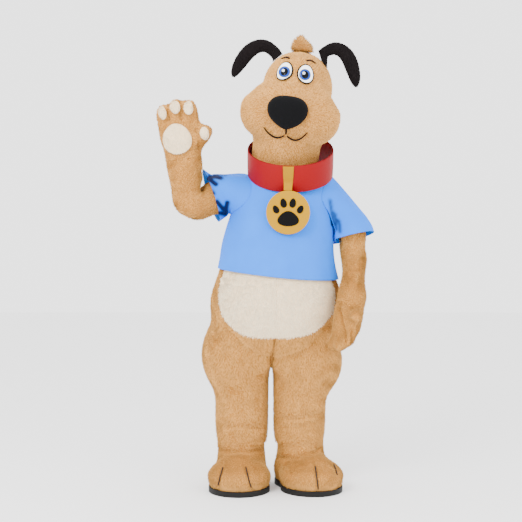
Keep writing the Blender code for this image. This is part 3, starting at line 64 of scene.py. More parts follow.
# Legs and hips of the jumpsuit
# Four panels of long-pile plush, knitted polyester with a brushed pile, sewn together at the
# inside leg, the outside leg and the middle of the back. The pile is combed down the leg.
CARRY = 1.340           # the wearer's shoulders, where the origin is, above the floor
PILE = 0.0085           # how far the pile stands above its backing
BACKING = 0.0018        # knitted backing
TUFT_SPACING = 0.0037   # locks of pile, drawn coarser than the real 1 mm so that they show
ROOT_DEPTH = 0.0006     # the locks start this deep in the backing
BROAD_SWIRL = 0.055     # the brushed pile turns aside over this length
SMALL_SWIRL = 0.016     # and its single locks over this one
SAME_CORNER = 0.00003   # corners nearer than this are one corner
SEAM = 0.0016           # panels whose rims are this near are sewn together
SHIRT_GAP = 0.028       # the shirt hangs nearer than this over the plush
Surface = namedtuple("Surface", "points faces normals")
Fold = namedtuple("Fold", "line half_width depth")   # its line gives x and height, as seen


def room(x, y, z):
    """A place given by its height above the floor, in the frame of the part."""
    return np.array((x, y, z - CARRY))


def linear(code):
    """An sRGB hex colour as linear red, green, blue and alpha."""
    parts = [int(code[i:i + 2], 16) / 255 for i in (1, 3, 5)]
    return (*[v / 12.92 if v <= 0.04045 else ((v + 0.055) / 1.055) ** 2.4 for v in parts], 1.0)


def add_node(tree, kind, settings={}, links={}):
    """A node with its settings, and its sockets' values or the outputs they take."""
    made = tree.nodes.new(kind)
    for name, value in settings.items():
        if isinstance(name, str) and name in made.bl_rna.properties:
            setattr(made, name, value)
        else:
            made.inputs[name].default_value = value
    for name, source in links.items():
        tree.links.new(source, made.inputs[name])
    return made


def new_material(name, **values):
    """A material and its shader, with the shader's own values set."""
    made = bpy.data.materials.new(name)
    made.use_nodes = True
    shader = made.node_tree.nodes["Principled BSDF"]
    for socket, value in values.items():
        shader.inputs[socket.replace("_", " ")].default_value = value
    return made, made.node_tree, shader


def plush_pile(name, root, tip, patchy=0.16):
    """Brushed pile: soft and matt, darker at the roots with painted shade, with patches where it
    is combed aside.

    The patches are about 48 mm across.
    """
    made, tree, shader = new_material(name, Roughness=0.85, Sheen_Weight=0.05, Sheen_Roughness=0.5,
                                      Sheen_Tint=linear(tip), Specular_IOR_Level=0.15)
    place = add_node(tree, "ShaderNodeTexCoord")
    patch = add_node(tree, "ShaderNodeTexNoise", {"Scale": 21.0, "Detail": 3.0, "Roughness": 0.6},
                     {"Vector": place.outputs["Object"]})
    along = add_node(tree, "ShaderNodeAttribute", {"attribute_name": "tip"})
    lock = add_node(tree, "ShaderNodeAttribute", {"attribute_name": "lock"})
    # painted shade: the locks' colour darkens from the paler tip colour to the root colour, where
    # they shade each other
    root_shade_tone = add_node(tree, "ShaderNodeMix",
                   {"data_type": "RGBA", 6: linear(root), 7: linear(tip)},
                   {0: along.outputs["Fac"]})
    broad = add_node(tree, "ShaderNodeMapRange",
                     {1: 0.3, 2: 0.7, 3: 1 - patchy, 4: 1 + patchy / 2},
                     {0: patch.outputs["Fac"]})
    small = add_node(tree, "ShaderNodeMapRange", {3: 0.90, 4: 1.07}, {0: lock.outputs["Fac"]})
    light = add_node(tree, "ShaderNodeMath", {"operation": "MULTIPLY"},
                     {0: broad.outputs[0], 1: small.outputs[0]})
    toned = add_node(tree, "ShaderNodeHueSaturation",
                     links={"Color": root_shade_tone.outputs[2], "Value": light.outputs[0]})
    tree.links.new(toned.outputs[0], shader.inputs["Base Color"])
    return made


def knit_backing(name, colour):
    """Knitted backing seen between the locks: matt, in the pile's darker root colour, which
    carries painted shade.

    Its loops are about 2.4 mm across, coarser than the real 1 mm so that they show.
    """
    made, tree, shader = new_material(name, Roughness=0.95, Specular_IOR_Level=0.2)
    place = add_node(tree, "ShaderNodeTexCoord")
    loops = add_node(tree, "ShaderNodeTexNoise", {"Scale": 420.0, "Detail": 2.0},
                     {"Vector": place.outputs["Object"]})
    shade = add_node(tree, "ShaderNodeMapRange", {1: 0.3, 2: 0.7, 3: 0.82, 4: 1.06},
                     {0: loops.outputs["Fac"]})
    # painted shade: the backing takes the darkened root colour of the pile above it
    toned = add_node(tree, "ShaderNodeHueSaturation", {"Color": linear(colour)},
                     {"Value": shade.outputs[0]})
    bump = add_node(tree, "ShaderNodeBump", {"Strength": 0.5, "Distance": 0.0008},
                    {"Height": loops.outputs["Fac"]})
    tree.links.new(toned.outputs[0], shader.inputs["Base Color"])
    tree.links.new(bump.outputs[0], shader.inputs["Normal"])
    return made


def nearest_on(line, points):
    """For each point, the nearest place on a line of points, and the line's way there."""
    line = np.asarray(line, float)
    best = np.full(len(points), math.inf)
    place, way = np.zeros_like(points), np.zeros_like(points)
    for a, b in zip(line, line[1:]):
        share = np.clip((points - a) @ (b - a) / max((b - a) @ (b - a), 1e-12), 0, 1)
        near = a + share[:, None] * (b - a)
        far = np.linalg.norm(points - near, axis=1)
        mine = far < best
        best[mine], place[mine] = far[mine], near[mine]
        way[mine] = (b - a) / max(np.linalg.norm(b - a), 1e-9)
    return best, place, way


def outer_cage(name, core, least=0.0):
    """The outer layer of a wall: what faces away from its core, less its smallest strips."""
    sharp_bend, outward = 0.75, 0.35   # where a layer ends, and how far it has to face out
    cage = bmesh.new()
    cage.from_mesh(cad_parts[name].data)
    bmesh.ops.remove_doubles(cage, verts=cage.verts[:], dist=SAME_CORNER)
    cage.normal_update()
    cage.faces.ensure_lookup_table()
    centres = np.array([tuple(f.calc_center_median()) for f in cage.faces])
    away = centres - nearest_on(core, centres)[1]
    away /= np.linalg.norm(away, axis=1, keepdims=True)
    seen, found = set(), []
    for first in cage.faces:
        if first.index in seen:
            continue
        region, queue = [], [first]
        seen.add(first.index)
        while queue:
            face = queue.pop()
            region.append(face)
            for edge in face.edges:
                if len(edge.link_faces) == 2 and edge.calc_face_angle(0) < sharp_bend:
                    for other in edge.link_faces:
                        if other.index not in seen:
                            seen.add(other.index)
                            queue.append(other)
        areas = np.array([f.calc_area() for f in region])
        facing = sum(a * (f.normal @ Vector(away[f.index])) for a, f in zip(areas, region))
        if facing > outward * areas.sum():
            found.append((areas.sum(), {f.index for f in region}))
    largest = max(area for area, _ in found)
    kept = set().union(*(numbers for area, numbers in found if area > least * largest))
    gone = [f for f in cage.faces if f.index not in kept]
    bmesh.ops.delete(cage, geom=gone, context="FACES")
    rims = [e for e in cage.edges if len(e.link_faces) == 1]
    bmesh.ops.holes_fill(cage, edges=rims, sides=12)
    bmesh.ops.join_triangles(cage, faces=cage.faces[:], angle_face_threshold=0.9,
                             angle_shape_threshold=1.2)
    cage.verts.ensure_lookup_table()
    cage.verts.index_update()
    points = np.array([tuple(v.co) for v in cage.verts])
    faces = [[v.index for v in f.verts] for f in cage.faces]
    cage.free()
    return points, faces


def mesh_of(name, points, faces):
    """A mesh of points and faces."""
    mesh = bpy.data.meshes.new(name)
    mesh.from_pydata([tuple(p) for p in points], [], faces)
    return mesh


def at_points(mesh, what):
    """The places or the normals of a mesh's points."""
    flat = np.zeros(len(mesh.vertices) * 3)
    mesh.vertices.foreach_get(what, flat)
    return flat.reshape(-1, 3)


def placed(name, data):
    """A mesh or a curve set in the scene on the costume's one body."""
    made = bpy.data.objects.new(name, data)
    bpy.context.scene.collection.objects.link(made)
    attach(made, "root")
    return made


def subdivided(points, faces, levels, sharp=None):
    """A smooth surface that still passes through the points it is drawn from."""
    rounds, pull = 3, 0.85
    goal, guide = np.array(points), np.array(points)
    for turn in range(rounds):
        mesh = mesh_of("cage", guide, faces)
        if sharp:
            kept = [float(tuple(sorted(e.vertices)) in sharp) for e in mesh.edges]
            mesh.attributes.new("crease_edge", "FLOAT", "EDGE")
            mesh.attributes["crease_edge"].data.foreach_set("value", kept)
        holder = bpy.data.objects.new("cage", mesh)
        bpy.context.scene.collection.objects.link(holder)
        smooth = holder.modifiers.new("smooth", "SUBSURF")
        smooth.levels = smooth.render_levels = levels
        smooth.boundary_smooth = "PRESERVE_CORNERS"
        made = bpy.data.meshes.new_from_object(
            holder.evaluated_get(bpy.context.evaluated_depsgraph_get()))
        bpy.data.objects.remove(holder)
        bpy.data.meshes.remove(mesh)
        found = at_points(made, "co")
        if turn < rounds - 1:
            guide = guide + pull * (goal - found[:len(goal)])
            bpy.data.meshes.remove(made)
    normals = at_points(made, "normal")
    quads = [tuple(f.vertices) for f in made.polygons]
    bpy.data.meshes.remove(made)
    return Surface(found, quads, normals)


def edge_points(surface):
    """The numbers of the points along a surface's open edges."""
    count = Counter()
    for face in surface.faces:
        for a, b in zip(face, face[1:] + face[:1]):
            count[(min(a, b), max(a, b))] += 1
    return sorted({v for edge, times in count.items() if times == 1 for v in edge})


def pressed(surface, folds):
    """Folds pressed into the front along their lines, or raised where the depth is below zero."""
    push = np.zeros(len(surface.points))
    flat = surface.points * (1, 0, 1)
    facing = np.clip(surface.normals[:, 1] * -3, 0, 1)
    for fold in folds:
        far = nearest_on([room(x, 0, z) for x, z in fold.line], flat)[0]
        push += fold.depth * facing * np.exp(-(far / fold.half_width) ** 2)
    return surface._replace(points=surface.points - surface.normals * push[:, None])


def seam_matched(surfaces):
    """Neighbouring panels agree on which way the seam between them faces."""
    rims = [edge_points(surface) for surface in surfaces]
    owners = [(n, i) for n, rim in enumerate(rims) for i in rim]
    tree = KDTree(len(owners))
    for k, (n, i) in enumerate(owners):
        tree.insert(surfaces[n].points[i], k)
    tree.balance()
    normals = [surface.normals.copy() for surface in surfaces]
    for n, i in owners:
        near = [owners[k] for _, k, _ in tree.find_range(surfaces[n].points[i], SEAM)]
        total = sum(surfaces[m].normals[j] for m, j in near)
        normals[n][i] = total / np.linalg.norm(total)
    return [surface._replace(normals=found) for surface, found in zip(surfaces, normals)]


def sunk(surface, depth):
    """The surface moved in, to leave room for its pile."""
    inward = surface.normals * np.reshape(depth, (-1, 1))
    return surface._replace(points=surface.points - inward)


def cloth(name, surface, thickness, material, node):
    """The surface as a sewn sheet with its own thickness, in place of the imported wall."""
    mesh = mesh_of(name, surface.points, surface.faces)
    mesh.shade_smooth()
    mesh.materials.append(material)
    made = placed(name, mesh)
    wall = made.modifiers.new("thickness", "SOLIDIFY")
    wall.thickness, wall.offset = thickness, -1.0
    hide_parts(node)
    return made


def wander(points, size, seed):
    """A smooth wandering way at each point, which turns over about the given length."""
    waves, height = 7, 2.6
    rng = np.random.default_rng(seed)
    total = np.zeros_like(points)
    for _ in range(waves):
        wave = rng.normal(size=3)
        wave *= math.tau / (size * rng.uniform(0.8, 1.7)) / np.linalg.norm(wave)
        total += np.sin(points @ wave + rng.uniform(0, math.tau))[:, None] * rng.normal(size=3)
    return total / height


def pile(name, surfaces, nap, length, material, seed, spacing=TUFT_SPACING, lift=0.75,
         bare=None, loose=0.42):
    """Locks of pile: tapered three-sided points that stand on the backing and lie with the nap.

    The nap gives the way it is combed, lift how far it stands up, loose how far it wanders, and
    bare is true where none grows.
    """
    slim, shortest, longest, stray = 0.55, 0.72, 1.12, 0.16
    rng = np.random.default_rng(seed)
    roots, ways, ups = [], [], []
    for surface in surfaces:
        corners = np.array([t for f in surface.faces
                            for t in ((f[0], f[1], f[2]), (f[0], f[2], f[-1]))[:len(f) - 2]])
        a, b, c = (surface.points[corners[:, i]] for i in range(3))
        areas = np.linalg.norm(np.cross(b - a, c - a), axis=1) / 2
        count = int(areas.sum() / spacing ** 2)
        pick = rng.choice(len(corners), count, p=areas / areas.sum())
        u, v = rng.random(count), rng.random(count)
        over = u + v > 1
        u[over], v[over] = 1 - u[over], 1 - v[over]
        w = 1 - u - v
        root = w[:, None] * a[pick] + u[:, None] * b[pick] + v[:, None] * c[pick]
        chosen = corners[pick]
        up = (w[:, None] * surface.normals[chosen[:, 0]]
              + u[:, None] * surface.normals[chosen[:, 1]]
              + v[:, None] * surface.normals[chosen[:, 2]])
        up /= np.linalg.norm(up, axis=1, keepdims=True)
        if bare is not None:
            keep = ~bare(root, up)
            root, up = root[keep], up[keep]
        roots.append(root)
        ups.append(up)
        ways.append(nap(root))
    root, up, lay = np.concatenate(roots), np.concatenate(ups), np.concatenate(ways)
    lay = (lay + loose * wander(root, BROAD_SWIRL, seed)
           + 0.22 * wander(root, SMALL_SWIRL, seed + 1))
    lay -= (lay * up).sum(axis=1, keepdims=True) * up
    lay /= np.maximum(np.linalg.norm(lay, axis=1, keepdims=True), 0.3)
    way = up * lift + lay + rng.normal(0, stray, root.shape)
    way /= np.linalg.norm(way, axis=1, keepdims=True)
    reach = length * rng.uniform(shortest, longest, len(root))
    side = np.cross(up, way)
    side /= np.maximum(np.linalg.norm(side, axis=1, keepdims=True), 1e-6)
    back = np.cross(side, up)
    around = [math.cos(t) * back + math.sin(t) * side
              for t in (0.0, math.tau / 3, 2 * math.tau / 3)]
    width = spacing * slim
    base = root - up * ROOT_DEPTH
    corners = [base + width * out for out in around]
    points = np.stack(corners + [root + way * reach[:, None]], axis=1).reshape(-1, 3)
    leans = [up + slim * out for out in around]
    shading = np.stack(leans + [up + 0.4 * way], axis=1).reshape(-1, 3)
    shading /= np.linalg.norm(shading, axis=1, keepdims=True)
    count = len(root)
    sides = np.array([[0, 1, 3], [1, 2, 3], [2, 0, 3]])
    faces = (np.arange(count) * 4)[:, None, None] + sides
    mesh = bpy.data.meshes.new(name)
    mesh.vertices.add(count * 4)
    mesh.loops.add(count * 9)
    mesh.polygons.add(count * 3)
    mesh.vertices.foreach_set("co", points.astype(np.float32).ravel())
    mesh.loops.foreach_set("vertex_index", faces.astype(np.int32).ravel())
    mesh.polygons.foreach_set("loop_start", (np.arange(count * 3) * 3).astype(np.int32))
    mesh.update(calc_edges=True)
    mesh.shade_smooth()
    # tip runs from 0 at the root to 1 at the point; the material paints shade at the roots from it
    for word, values in (("tip", np.tile([0.0, 0.0, 0.0, 1.0], count)),
                         ("lock", np.repeat(rng.random(count), 4))):
        mesh.attributes.new(word, "FLOAT", "POINT")
        mesh.attributes[word].data.foreach_set("value", values.astype(np.float32))
    mesh.normals_split_custom_set_from_vertices([tuple(n) for n in shading])
    mesh.materials.append(material)
    return placed(name, mesh)


# The root colours are darkened with painted shade among the locks; the tip colours are the pile's
# own.
TAN_ROOT, TAN_TIP = "#A8702E", "#EBAE5E"
CREAM_ROOT, CREAM_TIP = "#F4D8AE", "#FFF2D4"
tan_pile = plush_pile("tan brushed polyester pile", TAN_ROOT, TAN_TIP)
tan_backing = knit_backing("tan knitted backing", TAN_ROOT)

SHIRT_PIECES = ("shirt_front", "shirt_back", "shirt_sleeve_left", "shirt_sleeve_right")
shirt_cloth = [BVHTree.FromObject(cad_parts[word], bpy.context.evaluated_depsgraph_get())
               for word in SHIRT_PIECES]


def under_shirt(points, ups):
    """True where the shirt lies over the plush, which is left without pile there."""
    found = np.zeros(len(points), bool)
    for i, (p, n) in enumerate(zip(points, ups)):
        found[i] = any(tree.ray_cast(Vector(p), Vector(n), SHIRT_GAP)[0] for tree in shirt_cloth)
    return found


def down(points):
    """The nap of legs, belly and boot rims."""
    return np.tile((0.0, 0.0, -1.0), (len(points), 1))


# The soft ridges and hollows of a padded leg; a depth below zero stands out.
LEG_FOLDS = [
    Fold([(-0.215, 0.700), (-0.150, 0.615), (-0.070, 0.560), (-0.010, 0.548)], 0.012, 0.0170),
    Fold([(0.205, 0.675), (0.140, 0.605), (0.070, 0.562), (0.010, 0.548)], 0.012, 0.0160),
    Fold([(-0.262, 0.860), (-0.268, 0.780), (-0.262, 0.700)], 0.011, 0.0085),
    Fold([(-0.243, 0.830), (-0.246, 0.760), (-0.235, 0.690)], 0.010, 0.0068),
    Fold([(-0.235, 0.640), (-0.175, 0.590), (-0.120, 0.575)], 0.012, 0.0068),
    Fold([(0.225, 0.620), (0.180, 0.575), (0.130, 0.560)], 0.012, 0.0068),
    Fold([(-0.240, 0.300), (-0.170, 0.285), (-0.090, 0.300)], 0.012, -0.0051),
    Fold([(-0.230, 0.262), (-0.150, 0.272), (-0.060, 0.255)], 0.009, 0.0085),
    Fold([(0.020, 0.345), (0.090, 0.330), (0.190, 0.350)], 0.014, -0.0068),
    Fold([(0.010, 0.300), (0.100, 0.302), (0.200, 0.322)], 0.010, 0.0102),
    Fold([(0.030, 0.262), (0.110, 0.270), (0.190, 0.285)], 0.010, 0.0068),
    Fold([(0.215, 0.470), (0.190, 0.430), (0.150, 0.420)], 0.013, 0.0085),
]
LEG_MIDDLES = {"right": -0.146, "left": 0.102}
HEM_TOP, HEM_HEIGHT, HEM_TUCK = 0.275, 0.075, 0.007   # the hems are drawn in over the boots
leg_surfaces = {}
for side, x in LEG_MIDDLES.items():
    core = [room(x, 0.0, 0.10), room(x, 0.0, 0.48), room(x * 0.45, -0.01, 0.66),
            room(0.0, -0.01, 0.90), room(0.0, 0.0, 1.0)]
    for face in ("front", "back"):
        node = f"suit_{face}_{side}"
        leg_surfaces[node] = subdivided(*outer_cage(node, core), 2)
belly_core = [room(0.0, 0.0, 0.60), room(0.0, 0.0, 1.0)]
for side in ("right", "left"):
    leg_surfaces[f"belly_{side}"] = subdivided(*outer_cage(f"belly_{side}", belly_core), 2)
for node, surface in zip(leg_surfaces, seam_matched(list(leg_surfaces.values()))):
    surface = pressed(surface, LEG_FOLDS)
    low = np.clip((HEM_TOP - CARRY - surface.points[:, 2]) / HEM_HEIGHT, 0, 1)
    leg_surfaces[node] = sunk(surface, PILE + HEM_TUCK * low ** 2)
for side in LEG_MIDDLES:
    both = [f"suit_front_{side}", f"suit_back_{side}"]
    locks = pile(f"pile_leg_{side}", [leg_surfaces[node] for node in both], down, 0.0105,
                 tan_pile, 11 if side == "left" else 12, bare=under_shirt)
    for node, cut in zip(both, ((0.36, 0.90), (0.42, 0.92))):
        made = cloth(f"{node}_plush", leg_surfaces[node], BACKING, tan_backing, node)


# Belly
# Two panels of cream plush, knitted polyester with a brushed pile, let into the front of the
# jumpsuit. They are sewn to it round their edge and to each other down the middle.
cream_pile = plush_pile("cream brushed polyester pile", CREAM_ROOT, CREAM_TIP, 0.06)
cream_backing = knit_backing("cream knitted backing", CREAM_ROOT)
belly_surfaces = [leg_surfaces["belly_right"], leg_surfaces["belly_left"]]


def at_seam_or_shirt(points, ups):
    """True under the shirt and in the middle seam, which swings aside below 0.72 m."""
    seam = 0.008 - 0.028 * np.clip((0.72 - CARRY - points[:, 2]) / 0.19, 0, 1)
    seam_half_width = 0.0012
    return under_shirt(points, ups) | (np.abs(points[:, 0] - seam) < seam_half_width)


locks = pile("pile_belly", belly_surfaces, down, 0.0100, cream_pile, 21,
             bare=at_seam_or_shirt)
for side, surface in zip(("right", "left"), belly_surfaces):
    made = cloth(f"belly_{side}_plush", surface, BACKING, cream_backing,
                 f"belly_{side}")


# Upper body of the jumpsuit
# Front and back of the same tan plush, sheared short, since they lie under the shirt. They are
# sewn at the sides and shoulders and end at the neck.
SHEARED, SHEARED_CLOTH = 0.003, 0.004
torso_core = [room(0.01, 0.0, 0.9), room(0.045, 0.005, 1.25), room(0.05, 0.01, 1.42)]
for face in ("front", "back"):
    node = f"torso_{face}"
    surface = sunk(subdivided(*outer_cage(node, torso_core), 1), SHEARED)
    made = cloth(f"{node}_plush", surface, SHEARED_CLOTH, tan_backing, node)


# Sleeves of the jumpsuit
# One tube of the same plush each, sewn into the armhole and closed along its underside. The
# raised right one is gathered inside the bent elbow, and its pile is combed to the hand.
ARMS = {
    "right": [(-0.120, 0.018, 1.284), (-0.362, -0.030, 1.190), (-0.388, -0.084, 1.400),
              (-0.392, -0.10, 1.50)],
    "left": [(0.100, 0.005, 1.300), (0.215, 0.008, 1.240), (0.314, 0.012, 1.085),
             (0.328, -0.020, 0.960), (0.308, -0.168, 0.815), (0.300, -0.190, 0.776),
             (0.290, -0.24, 0.70)],
}
CROOKS = {"right": room(-0.303, -0.080, 1.264), "left": room(0.310, -0.070, 0.900)}
arm_cores = {side: [room(*p) for p in line] for side, line in ARMS.items()}


def neighbours(faces, count):
    """Each edge once, and how many edges meet at each point."""
    edges = np.array(sorted({(min(a, b), max(a, b)) for face in faces
                             for a, b in zip(face, face[1:] + face[:1])}))
    return edges, np.maximum(np.bincount(edges.ravel(), minlength=count), 1)[:, None]


def slack(points, edges, degree):
    """The way from each point to the middle of its neighbours."""
    total = np.zeros_like(points)
    np.add.at(total, edges[:, 0], points[edges[:, 1]])
    np.add.at(total, edges[:, 1], points[edges[:, 0]])
    return total / degree - points


def relaxed(points, faces, centre, reach, rounds):
    """The gathers inside a bent elbow are laid smooth."""
    edges, degree = neighbours(faces, len(points))
    pull = np.exp(-(np.linalg.norm(points - centre, axis=1, keepdims=True) / reach) ** 2)
    for _ in range(rounds):
        points = points + 0.5 * pull * slack(points, edges, degree)
    return points, faces


for side, core in arm_cores.items():
    node = f"fur_sleeve_{side}"
    cage = relaxed(*outer_cage(node, core[:-1]), CROOKS[side], reach=0.060, rounds=9)
    surface = sunk(subdivided(*cage, 2), PILE)
    made = cloth(f"{node}_plush", surface, BACKING, tan_backing, node)

    def along(points, core=core):
        """The nap of a sleeve, from shoulder to hand."""
        return nearest_on(core, points)[2]

    locks = pile(f"pile_sleeve_{side}", [surface], along, 0.0100, tan_pile,
                 31 if side == "left" else 32, bare=under_shirt)


# Mitts
# Palm and back of plush over a thin foam, sewn together round their outline and parted into
# fingers by stitched grooves. The raised palm has five stuffed cream pads sewn on.
LINING = 0.003          # backing with the thin foam inside
MITT_PILE = 0.006       # sheared shorter than on the arm
FINE_SPACING = 0.0033   # locks on mitts and head, which are seen closest
FINEST_SPACING = 0.0026
FINGER_FOLDS = [
    Fold([(0.250, 0.775), (0.262, 0.715), (0.275, 0.650)], 0.0075, 0.020),
    Fold([(0.300, 0.690), (0.304, 0.640), (0.304, 0.590)], 0.0065, 0.014),
    Fold([(0.326, 0.710), (0.328, 0.660), (0.326, 0.610)], 0.0065, 0.012),
    Fold([(-0.449, 1.650), (-0.447, 1.590), (-0.440, 1.540)], 0.0070, 0.014),
    Fold([(-0.392, 1.650), (-0.393, 1.590), (-0.392, 1.540)], 0.0070, 0.014),
    Fold([(-0.330, 1.505), (-0.324, 1.460), (-0.317, 1.420)], 0.0070, 0.012),
]
for side in ("right", "left"):
    wrist, palm = arm_cores[side][-2:]
    core = [wrist, wrist + (palm - wrist) * 1.9]   # on to the tips of the fingers
    surfaces = [subdivided(*outer_cage(f"mitt_{face}_{side}", core), 2)
                for face in ("palm", "back")]
    surfaces = [sunk(pressed(surface, FINGER_FOLDS), MITT_PILE)
                for surface in seam_matched(surfaces)]

    def fingerwards(points, core=core):
        """The nap of a mitt."""
        way = (core[1] - core[0]) / np.linalg.norm(core[1] - core[0])
        return np.tile(way, (len(points), 1))

    locks = pile(f"pile_mitt_{side}", surfaces, fingerwards, 0.0080, tan_pile,
                 41 if side == "left" else 42, spacing=FINE_SPACING)
    for face, surface in zip(("palm", "back"), surfaces):
        node = f"mitt_{face}_{side}"
        made = cloth(f"{node}_plush", surface, LINING, tan_backing, node)


def softened(name, levels, material, shape=None):
    """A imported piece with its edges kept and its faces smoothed, in place of the plain one."""
    edge_kept, edge_shaded = 0.9, 0.8
    cage = bmesh.new()
    cage.from_mesh(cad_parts[name].data)
    bmesh.ops.remove_doubles(cage, verts=cage.verts[:], dist=SAME_CORNER)
    cage.normal_update()
    bmesh.ops.join_triangles(cage, faces=cage.faces[:], angle_face_threshold=0.7,
                             angle_shape_threshold=1.3)
    cage.verts.index_update()
    sharp = {tuple(sorted(v.index for v in e.verts)) for e in cage.edges
             if len(e.link_faces) == 2 and e.calc_face_angle(0) > edge_kept}
    points = np.array([tuple(v.co) for v in cage.verts])
    faces = [[v.index for v in f.verts] for f in cage.faces]
    cage.free()
    surface = subdivided(points, faces, levels, sharp)
    if shape is not None:
        surface = surface._replace(points=shape(surface))
    mesh = mesh_of(f"{name}_made", surface.points, surface.faces)
    mesh.shade_smooth()
    mesh.set_sharp_from_angle(angle=edge_shaded)
    mesh.materials.append(material)
    made = placed(f"{name}_made", mesh)
    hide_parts(name)
    return made, surface


pads = ["palm_pad_right", "little_finger_pad_right", "middle_finger_pad_right",
        "first_finger_pad_right", "thumb_pad_right"]
pad_surfaces = []
for name in pads:
    made, surface = softened(name, 2, cream_backing)
    pad_surfaces.append((made, surface))
palm_out = np.array((0.0, -1.0, 0.0))


def seated(points, ups):
    """True on the side of a pad that lies on the palm."""
    return ups @ palm_out < 0.15


locks = pile("pile_palm_pads", [s for _, s in pad_surfaces], fingerwards, 0.0050, cream_pile,
             51, spacing=FINEST_SPACING, bare=seated)
locks.parent = pad_surfaces[0][0]


# Boots
# Uppers of the same plush over foam, each a front and a heel panel, glued to a rubber sole. Two
# lines of black yarn are pulled tight through each front and part its toes.
BOOT_PILE = 0.0075
STITCH_RADIUS, STITCH_SUNK = 0.0026, 0.0005
GROOVE_DEPTH, GROOVE_HALF_WIDTH = 0.007, 0.013   # where the yarn pulls the plush in
STITCH_BARE = 0.0032                             # no pile grows this near the yarn
RIM_TOP = 0.050                                  # longer pile hangs over the sole below here
BOOTS = {"right": ([(-0.148, 0.0, 0.21), (-0.148, -0.02, 0.09), (-0.153, -0.15, 0.06)], -4),
         "left": ([(0.104, 0.0, 0.21), (0.110, -0.02, 0.09), (0.165, -0.14, 0.06)], 24)}
TOE_LINES = {"right": [[(-0.222, 0.112), (-0.232, 0.082), (-0.240, 0.045)],
                       [(-0.126, 0.116), (-0.116, 0.082), (-0.104, 0.040)]],
             "left": [[(0.160, 0.118), (0.165, 0.075), (0.172, 0.022)],
                      [(0.238, 0.118), (0.246, 0.100), (0.252, 0.080)]]}
BOOT_FOLDS = [
    Fold([(-0.250, 0.160), (-0.150, 0.172), (-0.040, 0.160)], 0.0080, 0.014),
    Fold([(-0.010, 0.125), (0.060, 0.140), (0.120, 0.158), (0.190, 0.172)], 0.0080, 0.015),
]
# Chenille yarn swallows the light, so that it reads as a plain black line.
toe_thread, _, _ = new_material("black stitched chenille yarn", Roughness=0.9,
                                Base_Color=linear("#080605"))
for side, (line, yaw) in BOOTS.items():
    core = [room(*p) for p in line]
    surfaces = [subdivided(*outer_cage(f"boot_{face}_{side}", core, least=0.08), 2)
                for face in ("front", "heel")]
    surfaces = [sunk(pressed(surface, BOOT_FOLDS), BOOT_PILE)
                for surface in seam_matched(surfaces)]
    front = BVHTree.FromPolygons([tuple(p) for p in surfaces[0].points], surfaces[0].faces)
    marks = []
    for stitched in TOE_LINES[side]:
        steps = np.linspace(0, 1, 15)
        places = np.array(stitched)
        x = np.interp(steps, np.linspace(0, 1, 3), places[:, 0])
        z = np.interp(steps, np.linspace(0, 1, 3), places[:, 1])
        hits = [front.ray_cast(Vector(room(a, -0.6, b)), Vector((0, 1, 0)))[0]
                for a, b in zip(x, z)]
        marks.append(np.array([tuple(h) for h in hits if h is not None]))
    for i, surface in enumerate(surfaces):
        push = np.zeros(len(surface.points))
        for mark in marks:
            far = nearest_on(mark, surface.points)[0]
            push += GROOVE_DEPTH * np.exp(-(far / GROOVE_HALF_WIDTH) ** 2)
        surfaces[i] = sunk(surface, push)

    def to_toes(points, yaw=yaw):
        """The nap of a boot, forward and down."""
        way = np.array((math.sin(math.radians(yaw)), -math.cos(math.radians(yaw)), -0.9))
        return np.tile(way, (len(points), 1))

    def beside_stitch(points, ups, marks=marks):
        """True along the yarn."""
        near = np.min([nearest_on(mark, points)[0] for mark in marks], axis=0)
        return near < STITCH_BARE

    locks = pile(f"pile_boot_{side}", surfaces, to_toes, 0.0092, tan_pile,
                 61 if side == "left" else 62, bare=beside_stitch)

    def above_rim(points, ups):
        """True but for the rim, which alone bears the longer pile."""
        return (points[:, 2] > RIM_TOP - CARRY) | (ups[:, 2] < -0.9)

    fringe = pile(f"pile_boot_rim_{side}", surfaces, down, 0.0200, tan_pile,
                  63 if side == "left" else 64, spacing=FINEST_SPACING, bare=above_rim,
                  lift=0.25)
    for face, surface in zip(("front", "heel"), surfaces):
        node = f"boot_{face}_{side}"
        made = cloth(f"{node}_plush", surface, LINING, tan_backing, node)
    for number, mark in enumerate(marks):
        curve = bpy.data.curves.new(f"toe_stitch_{side}_{number + 1}", "CURVE")
        curve.dimensions, curve.bevel_depth, curve.bevel_resolution = "3D", STITCH_RADIUS, 2
        curve.use_fill_caps = True
        spline = curve.splines.new("POLY")
        spline.points.add(len(mark) - 1)
        for point, place in zip(spline.points, mark):
            point.co = (place[0], place[1] - STITCH_SUNK, place[2], 1.0)
        curve.materials.append(toe_thread)
        placed(curve.name, curve)


# Soles
# Moulded black rubber, 22 mm thick, glued under the uppers. The mould leaves a matt grain about
# 1 mm across.
def two_tone(name, dark, pale, texture, pattern, strength, relief, **values):
    """A finish of two close tones, with the fine relief of its grain, fibres or weave."""
    made, tree, shader = new_material(name, **values)
    place = add_node(tree, "ShaderNodeTexCoord")
    grain = add_node(tree, texture, pattern, {"Vector": place.outputs["Object"]})
    tone = add_node(tree, "ShaderNodeMix",
                    {"data_type": "RGBA", 6: linear(dark), 7: linear(pale)},
                    {0: grain.outputs["Fac"]})
    bump = add_node(tree, "ShaderNodeBump", {"Strength": strength, "Distance": relief},
                    {"Height": grain.outputs["Fac"]})
    tree.links.new(tone.outputs[2], shader.inputs["Base Color"])
    tree.links.new(bump.outputs[0], shader.inputs["Normal"])
    return made


# Dull from the mould, with only a faint sheen along the edge.
sole_rubber = two_tone("moulded black rubber", "#050505", "#12110F", "ShaderNodeTexNoise",
                       {"Scale": 900.0, "Detail": 3.0}, 0.5, 0.0006,
                       Roughness=0.62, Specular_IOR_Level=0.2)
for side in ("right", "left"):
    softened(f"sole_{side}", 2, sole_rubber)


